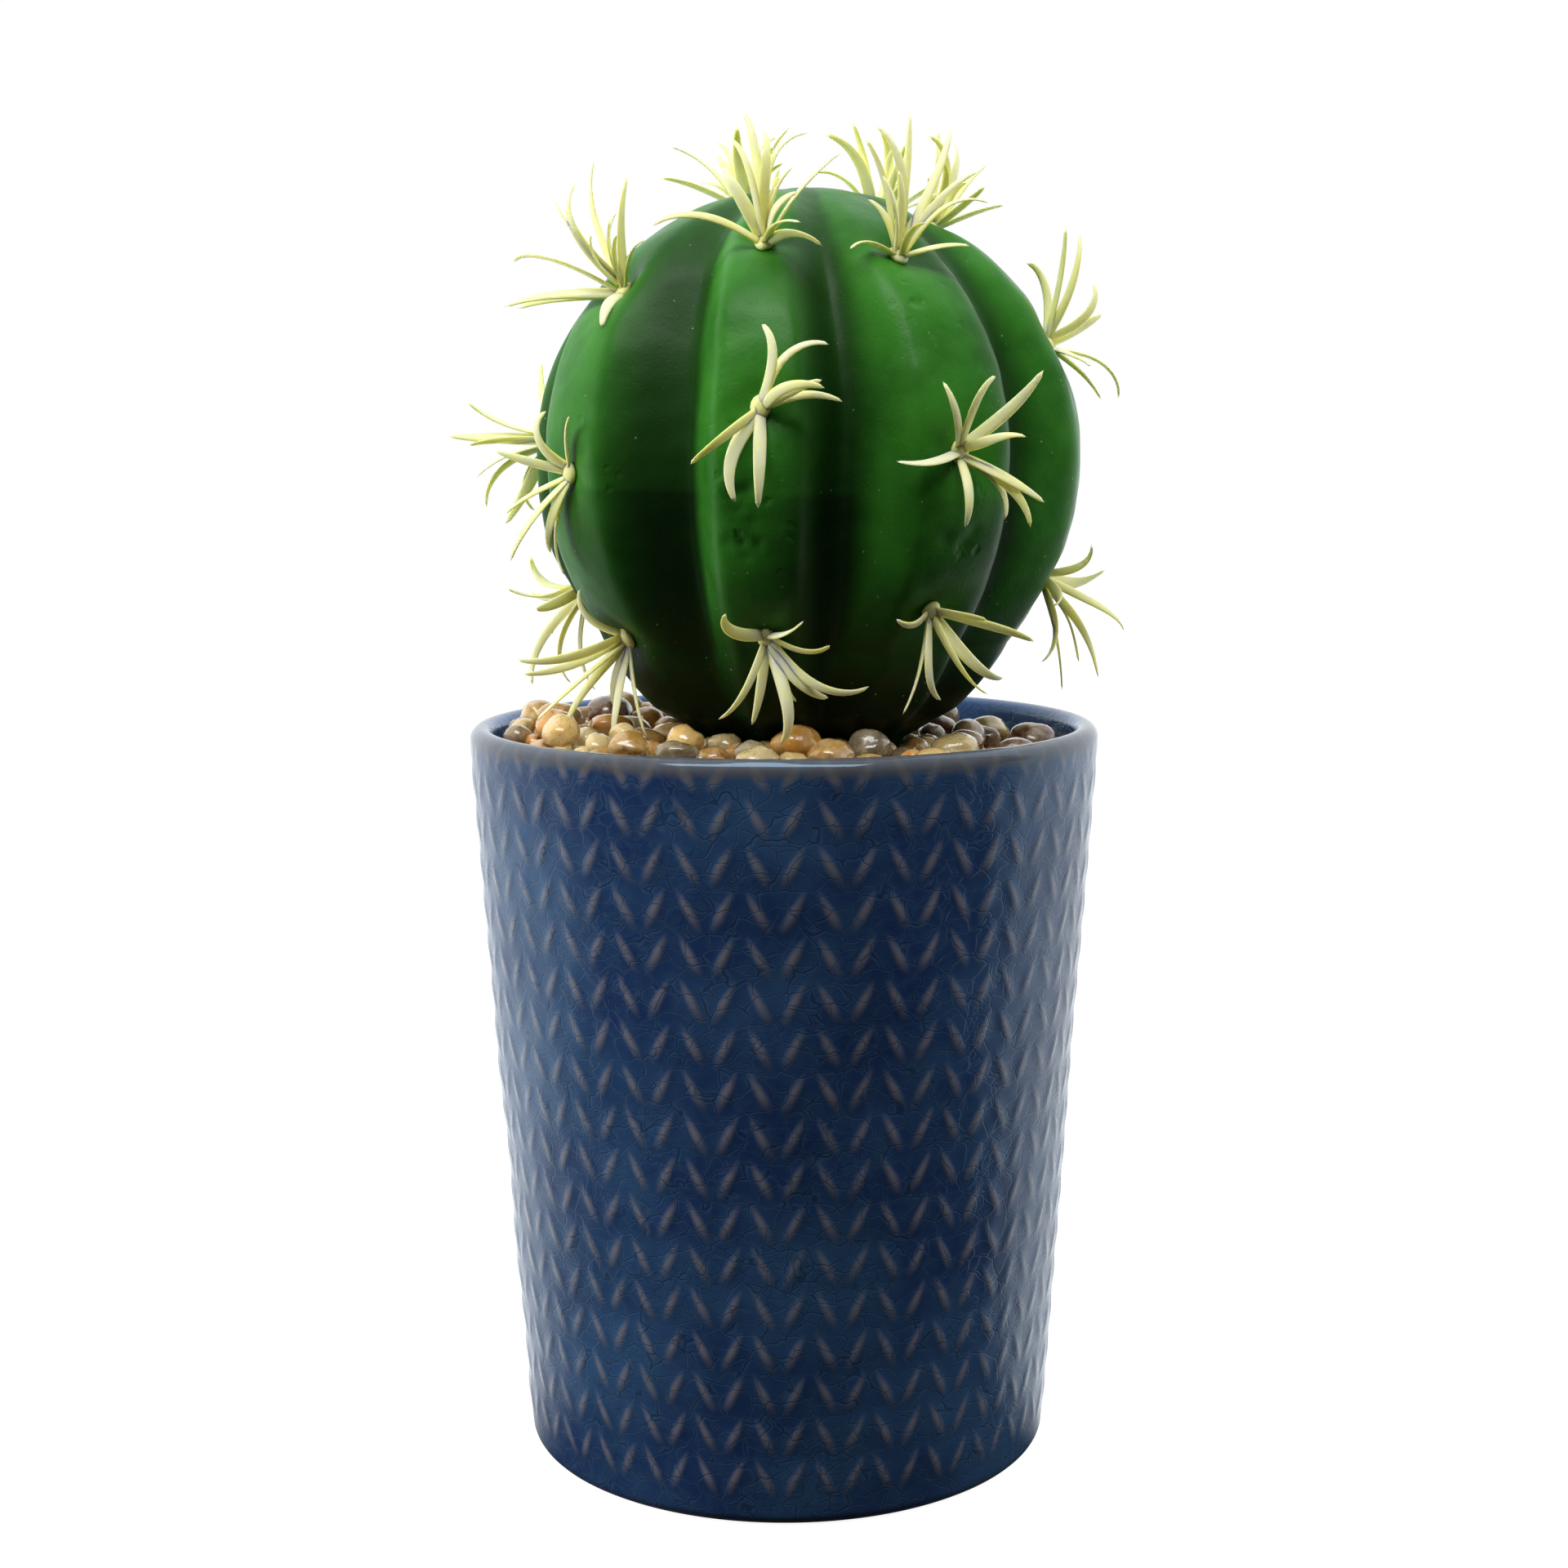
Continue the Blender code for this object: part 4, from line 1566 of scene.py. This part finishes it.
@dataclass(frozen=True)
class LacqueredStone:
    """Worn stone under clear lacquer: clouded, veined and speckled round its own tint."""

    cloud: Colour = (0.80, 0.68, 0.42)
    stain: Colour = (0.12, 0.035, 0.008)
    speck: Colour = (0.05, 0.03, 0.02)

    def material(self) -> bpy.types.Material:
        """Builds the node tree.

        Returns:
            The finished material, which reads each stone's tint from the mesh.
        """
        nodes = Nodes("lacquered_stone")
        maths, mix, ramp, noise = nodes.maths, nodes.mix, nodes.ramp, nodes.noise
        tint = nodes.stored("tint", "Color")
        cloud = ramp(noise(3.2 * MM, 4.0, distortion=0.8), 0.36, 0.66)
        colour = mix(maths("MULTIPLY", cloud, 0.6), tint, mix(0.45, tint, self.cloud))
        stain = ramp(noise(2.1 * MM, distortion=1.4), 0.56, 0.74)
        colour = mix(maths("MULTIPLY", stain, 0.7), colour, mix(0.62, tint, self.stain))
        speck = ramp(noise(0.45 * MM, 2.0), 0.64, 0.72)
        return nodes.finish(
            Base_Color=mix(maths("MULTIPLY", speck, 0.5), colour, self.speck),
            Roughness=ramp(noise(1.2 * MM, 2.0), 0.3, 0.7, 0.16, 0.34),
            Normal=nodes.bump(noise(0.35 * MM, 2.0), 0.02 * MM, nodes.bump(noise(1.6 * MM), 0.16 * MM)),
            Coat_Weight=0.9,
            Coat_Roughness=0.06,
            Subsurface_Weight=0.12,
            Subsurface_Radius=(1.0, 0.6, 0.3),
            Subsurface_Scale=1.0 * MM,
        )


@dataclass(frozen=True)
class Stone:
    """One stone: its middle and half sizes, how it is tilted about X and turned, and its tint."""

    centre: tuple[float, float, float]
    half: tuple[float, float, float]
    tilt: float
    turn: float
    tint: Colour


@dataclass(frozen=True)
class Layer:
    """One layer of fill stones.

    Tries is how many places are drawn, least and most bound the stones' size, lift is their
    middles' height over the bed's level, all in millimetres, and apart is how close two circles
    may come as a share of their radii. A layer may also keep clear of the named stones.
    """

    tries: int
    least: float
    most: float
    lift: float
    apart: float
    round_named: bool = False


LAYERS = (
    Layer(3000, 4.0, 5.4, -2.4, 0.80),
    Layer(4000, 3.2, 4.8, 1.4, 0.84, round_named=True),
    Layer(3000, 2.6, 3.4, -0.2, 0.74),
)


@dataclass(frozen=True)
class PebbleTop:
    """The stones on top: those named in the frame, and the ones bedded between and under them."""

    inner_reach: float = 55.0 * MM
    stem_reach: float = 19.5 * MM
    stem_x: float = 4.2 * MM
    level: float = 135.0 * MM
    fall: tuple[float, float] = (0.045, 0.02)
    named_growth: float = 1.03
    named_rings: int = 14
    named_around: int = 24
    fill_rings: int = 7
    fill_around: int = 14
    lacquer: LacqueredStone = field(default_factory=LacqueredStone)

    def add_stone(self, pile: Pile, stone: Stone, rings: int, around: int, seed: int) -> None:
        """Adds a worn stone to a pile.

        A unit sphere, pushed in and out by a tenth of smooth noise and flattened where its
        noise is high, then stretched to its half sizes, turned and moved into place.

        Args:
            pile: Where it is added.
            stone: The stone.
            rings: How many rings of points it has.
            around: How many points each ring has.
            seed: Which random shape it is.
        """
        ball = ball_points(np.linspace(-90, 90, rings + 2)[1:-1], around)
        wobble = 0.085 * soft_noise(ball, 1.7, seed, 10) + 0.03 * soft_noise(ball, 0.8, seed + 1, 10)
        shape = ball * (0.97 + np.clip(wobble, -0.14, 0.07))[:, None]
        turned = Matrix.Rotation(stone.turn, 3, "Z") @ Matrix.Rotation(stone.tilt, 3, "X")
        points = (shape * np.array(stone.half)) @ np.array(turned).T + np.array(stone.centre)
        pile.add(points, closed_faces(rings, around), tint=np.array([stone.tint]))

    def tint_near(self, base: Colour, rng: np.random.Generator) -> Colour:
        """A stone's own tint: a typical colour made lighter or darker, and redder or yellower.

        Args:
            base: The typical colour.
            rng: Where the two random draws come from.

        Returns:
            The tint.
        """
        gain = rng.uniform(0.72, 1.22)
        warm = rng.uniform(-0.12, 0.12)
        return (base[0] * gain * (1 + warm), base[1] * gain, base[2] * gain * (1 - 1.6 * warm))

    def build_named(self, finish: bpy.types.Material) -> list[Stone]:
        """Gives each pebble node a worn stone of the same size in the same place.

        Args:
            finish: The stones' material.

        Returns:
            The stones.
        """
        slots = {part["node"]: part["material_slot"] for part in frame["record"]["subparts"]}
        colours = {choice.slot: choice.colour for choice in StoneColour}
        made = []
        names = sorted(name for name in frame["nodes"] if name.startswith("pebble_"))
        for number, name in enumerate(names):
            rng = np.random.default_rng(700 + number)
            low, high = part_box(name)
            half = (high - low) / 2 * self.named_growth
            tint = self.tint_near(colours[slots[name]], rng)
            stone = Stone(tuple((low + high) / 2), tuple(half), rng.uniform(-0.12, 0.12), 0.0, tint)
            pile = Pile()
            self.add_stone(pile, stone, self.named_rings, self.named_around, 900 + number)
            pebble = pile.put(f"stone_{name}", finish)
            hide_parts(name)
            made.append(stone)
        return made

    def fill_layer(self, layer: Layer, named: Sequence[Stone], rng: np.random.Generator) -> list[Stone]:
        """One layer of stones between the stem and the pot's wall.

        A place's distance from the axis is the root of an even draw between two squares. A place
        is kept where the stone's circle comes no closer to another of the layer than it may.

        Args:
            layer: The layer.
            named: The stones that stand there already.
            rng: Where the random draws come from.

        Returns:
            The new stones.
        """
        around = named if layer.round_named else ()
        discs = [(stone.centre[0], stone.centre[1], max(stone.half[:2])) for stone in around]
        palette = list(StoneColour)
        shares = [choice.share for choice in palette]
        made = []
        for _ in range(layer.tries):
            size = rng.uniform(layer.least, layer.most) * MM
            distance = math.sqrt(rng.uniform(self.stem_reach**2, (self.inner_reach - size) ** 2))
            azimuth = rng.uniform(0, 2 * np.pi)
            x, y = distance * math.sin(azimuth), -distance * math.cos(azimuth)
            if math.hypot(x - self.stem_x, y) < self.stem_reach + size:
                continue
            if any(math.hypot(x - a, y - b) < layer.apart * (size + c) for a, b, c in discs):
                continue
            discs.append((x, y, size))
            tall = size * rng.uniform(0.6, 0.8)
            fall = self.fall[0] * x + self.fall[1] * y
            middle = (x, y, self.level + layer.lift * MM + rng.uniform(-0.6, 0.6) * MM - fall)
            tilt, turn = rng.uniform(-0.35, 0.35), rng.uniform(0, np.pi)
            base = palette[rng.choice(len(palette), p=shares)].colour
            half = (size, size * rng.uniform(0.64, 0.88), tall)
            made.append(Stone(middle, half, tilt, turn, self.tint_near(base, rng)))
        log.info("gravel layer with %d stones", len(made))
        return made

    def build(self) -> bpy.types.Object:
        """Builds the named stones and the bed of fill stones.

        Returns:
            The bed, standing for the CAD node gravel_bed.
        """
        finish = self.lacquer.material()
        named = self.build_named(finish)
        rng = np.random.default_rng(31)
        fill = [stone for layer in LAYERS for stone in self.fill_layer(layer, named, rng)]
        pile = Pile()
        for number, stone in enumerate(fill):
            self.add_stone(pile, stone, self.fill_rings, self.fill_around, 2000 + number)
        bed = pile.put("gravel_bed_stones", finish)
        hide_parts("gravel_bed")
        return bed


@dataclass(frozen=True)
class PlantingFoam:
    """Matt open-celled green foam for the block inside the pot, with painted shade in its pores."""

    colour: Colour = (0.030, 0.085, 0.030)
    # Painted shade in the pores, where the bump sinks the surface.
    painted_pore_shade: Colour = (0.008, 0.025, 0.008)

    def material(self) -> bpy.types.Material:
        """Builds the node tree.

        Returns:
            The finished material.
        """
        nodes = Nodes("planting_foam")
        between = nodes.ramp(nodes.cells(0.9 * MM), 0.15, 0.6)
        # Painted shade darkens the pores' middles.
        colour = nodes.mix(between, self.painted_pore_shade, self.colour)
        return nodes.finish(Base_Color=colour, Roughness=0.95, Normal=nodes.bump(between, 0.3 * MM))

    def dress(self) -> None:
        """Gives the CAD node this finish."""
        mesh = frame["nodes"]["planting_foam"].data
        mesh.materials.clear()
        mesh.materials.append(self.material())


# ---------------------------------------------------------------- studio


@dataclass(frozen=True)
class Softbox:
    """A rectangular light: where it hangs, what it looks at, its sides and its power in watts.

    A light that doesn't shine in gloss only shades.
    """

    name: str
    place: tuple[float, float, float]
    target: tuple[float, float, float]
    size: tuple[float, float]
    power: float
    in_gloss: bool = True

    def build(self) -> bpy.types.Object:
        """Hangs the light.

        Returns:
            The light.
        """
        data = bpy.data.lights.new(self.name, "AREA")
        data.shape = "RECTANGLE"
        data.size, data.size_y = self.size
        data.energy = self.power
        lamp = put_object(self.name, data)
        lamp.location = self.place
        lamp.visible_glossy = self.in_gloss
        aim = Vector(self.target) - Vector(self.place)
        lamp.rotation_euler = aim.to_track_quat("-Z", "Y").to_euler()
        return lamp


@dataclass(frozen=True)
class Studio:
    """A plain pale floor, bright side walls, a dim front, soft lights and the camera.

    The walls glow to the right and the left of the front, each between two azimuths in degrees.
    """

    distance: float = 0.450
    camera_height: float = 0.1909
    pitch: float = math.radians(8.0)
    roll: float = math.radians(-0.3)
    lens: float = 54.0
    sensor: float = 36.0
    wall_colour: Colour = (0.93, 0.97, 1.0)
    wall_glow: float = 1.15
    front_glow: float = 0.02
    walls: tuple[tuple[float, float], tuple[float, float]] = ((90, 100), (-125, -66))
    floor_half: float = 4.0
    floor_drop: float = 0.05 * MM
    floor_grey: Colour = (0.30, 0.30, 0.30)
    floor_glow: float = 0.93
    floor_dim: float = 0.03
    floor_walls: tuple[tuple[float, float], tuple[float, float]] = ((66, 100), (-112, -58))
    softboxes: tuple[Softbox, ...] = (
        Softbox("overhead_softbox", (-0.08, -0.45, 1.00), (0.0, 0.0, 0.19), (1.00, 0.34), 9.0),
        Softbox("left_softbox", (-1.00, -0.06, 0.38), (0.0, 0.0, 0.15), (0.5, 0.6), 8.0, False),
        Softbox("right_softbox", (0.95, 0.10, 0.45), (0.0, 0.0, 0.18), (0.4, 0.6), 3.0, False),
    )

    def build_camera(self) -> bpy.types.Object:
        """Sets up the camera: straight in front, looking slightly down.

        Returns:
            The camera.
        """
        data = bpy.data.cameras.new("front_camera")
        data.lens = self.lens
        data.sensor_width = self.sensor
        data.clip_start = 0.01
        camera = put_object("front_camera", data)
        camera.location = (0.0, -self.distance, self.camera_height)
        tilt = Matrix.Rotation(math.pi / 2 - self.pitch, 4, "X") @ Matrix.Rotation(self.roll, 4, "Z")
        camera.rotation_euler = tilt.to_euler()
        bpy.context.scene.camera = camera
        return camera

    def wall_share(
        self,
        nodes: Nodes,
        vector: bpy.types.NodeSocket,
        walls: tuple[tuple[float, float], tuple[float, float]],
    ) -> bpy.types.NodeSocket:
        """How far a direction lies towards the glowing walls.

        Args:
            nodes: The tree it is written on.
            vector: The direction, or a position.
            walls: The azimuths of the right wall's beginning and of the left wall's.

        Returns:
            0 in front, and 1 at the walls.
        """
        x, y, _ = nodes.split(vector)
        azimuth = nodes.maths("ARCTAN2", x, nodes.maths("MULTIPLY", y, -1.0))
        right = nodes.ramp(azimuth, *map(math.radians, walls[0]))
        left = nodes.ramp(azimuth, *map(math.radians, walls[1]), 1.0, 0.0)
        return nodes.maths("MAXIMUM", right, left)

    def build_world(self) -> None:
        """Walls of light to the sides and behind, dim in front, dim below, and white in view."""
        world = bpy.data.worlds.new("studio_walls")
        bpy.context.scene.world = world
        nodes = Nodes("studio_walls", world)
        direction = nodes.coordinates.outputs["Generated"]
        above = nodes.ramp(nodes.split(direction)[2], 0.55, 0.95, 0.0, 0.35)
        glow = nodes.maths("MAXIMUM", self.wall_share(nodes, direction, self.walls), above)
        strength = nodes.maths("MULTIPLY_ADD", glow, self.wall_glow, self.front_glow)
        lit = nodes.light("ShaderNodeBackground", strength, self.wall_colour)
        nodes.show(lit, nodes.light("ShaderNodeBackground", 1.0, (1.0, 1.0, 1.0)))

    def build_floor(self) -> bpy.types.Object:
        """A wide pale floor, a hair below the pot, that throws little light back up.

        Returns:
            The floor.
        """
        nodes = Nodes("studio_floor")
        share = self.wall_share(nodes, nodes.position, self.floor_walls)
        glow = nodes.maths("MAXIMUM", share, self.floor_dim)
        bounce = nodes.maths("MULTIPLY", glow, self.wall_glow)
        unseen = nodes.light("ShaderNodeEmission", bounce, self.wall_colour)
        matt = nodes.chain("ShaderNodeBsdfDiffuse", (self.floor_grey,))
        pale = nodes.light("ShaderNodeEmission", self.floor_glow, (1.0, 1.0, 1.0))
        nodes.show(unseen, nodes.chain("ShaderNodeAddShader", (matt, pale)))
        corners = [
            (side * self.floor_half, end * self.floor_half, -self.floor_drop)
            for side, end in ((-1, -1), (1, -1), (1, 1), (-1, 1))
        ]
        mesh = bpy.data.meshes.new("studio_floor")
        mesh.from_pydata(corners, [], [(0, 1, 2, 3)])
        mesh.materials.append(nodes.owner)
        floor = put_object("studio_floor", mesh)
        return floor

    def build(self) -> None:
        """Sets up the whole studio."""
        self.build_camera()
        self.build_world()
        self.build_floor()
        for softbox in self.softboxes:
            softbox.build()
        bpy.context.scene.view_settings.view_transform = "Standard"


def main() -> None:
    """Builds the studio, the pot, the plant and the stones, in that order."""
    logging.basicConfig(level=logging.INFO, format="%(message)s")
    Studio().build()
    log.info("pot: %s", Pot().build().name)
    PlantingFoam().dress()
    body = CactusBody()
    log.info("body: %s", body.build().name)
    for tuft in SpineTufts().build(body):
        log.info("tuft: %s", tuft.name)
    log.info("stones: %s", PebbleTop().build().name)


if __name__ == "__main__":
    main()
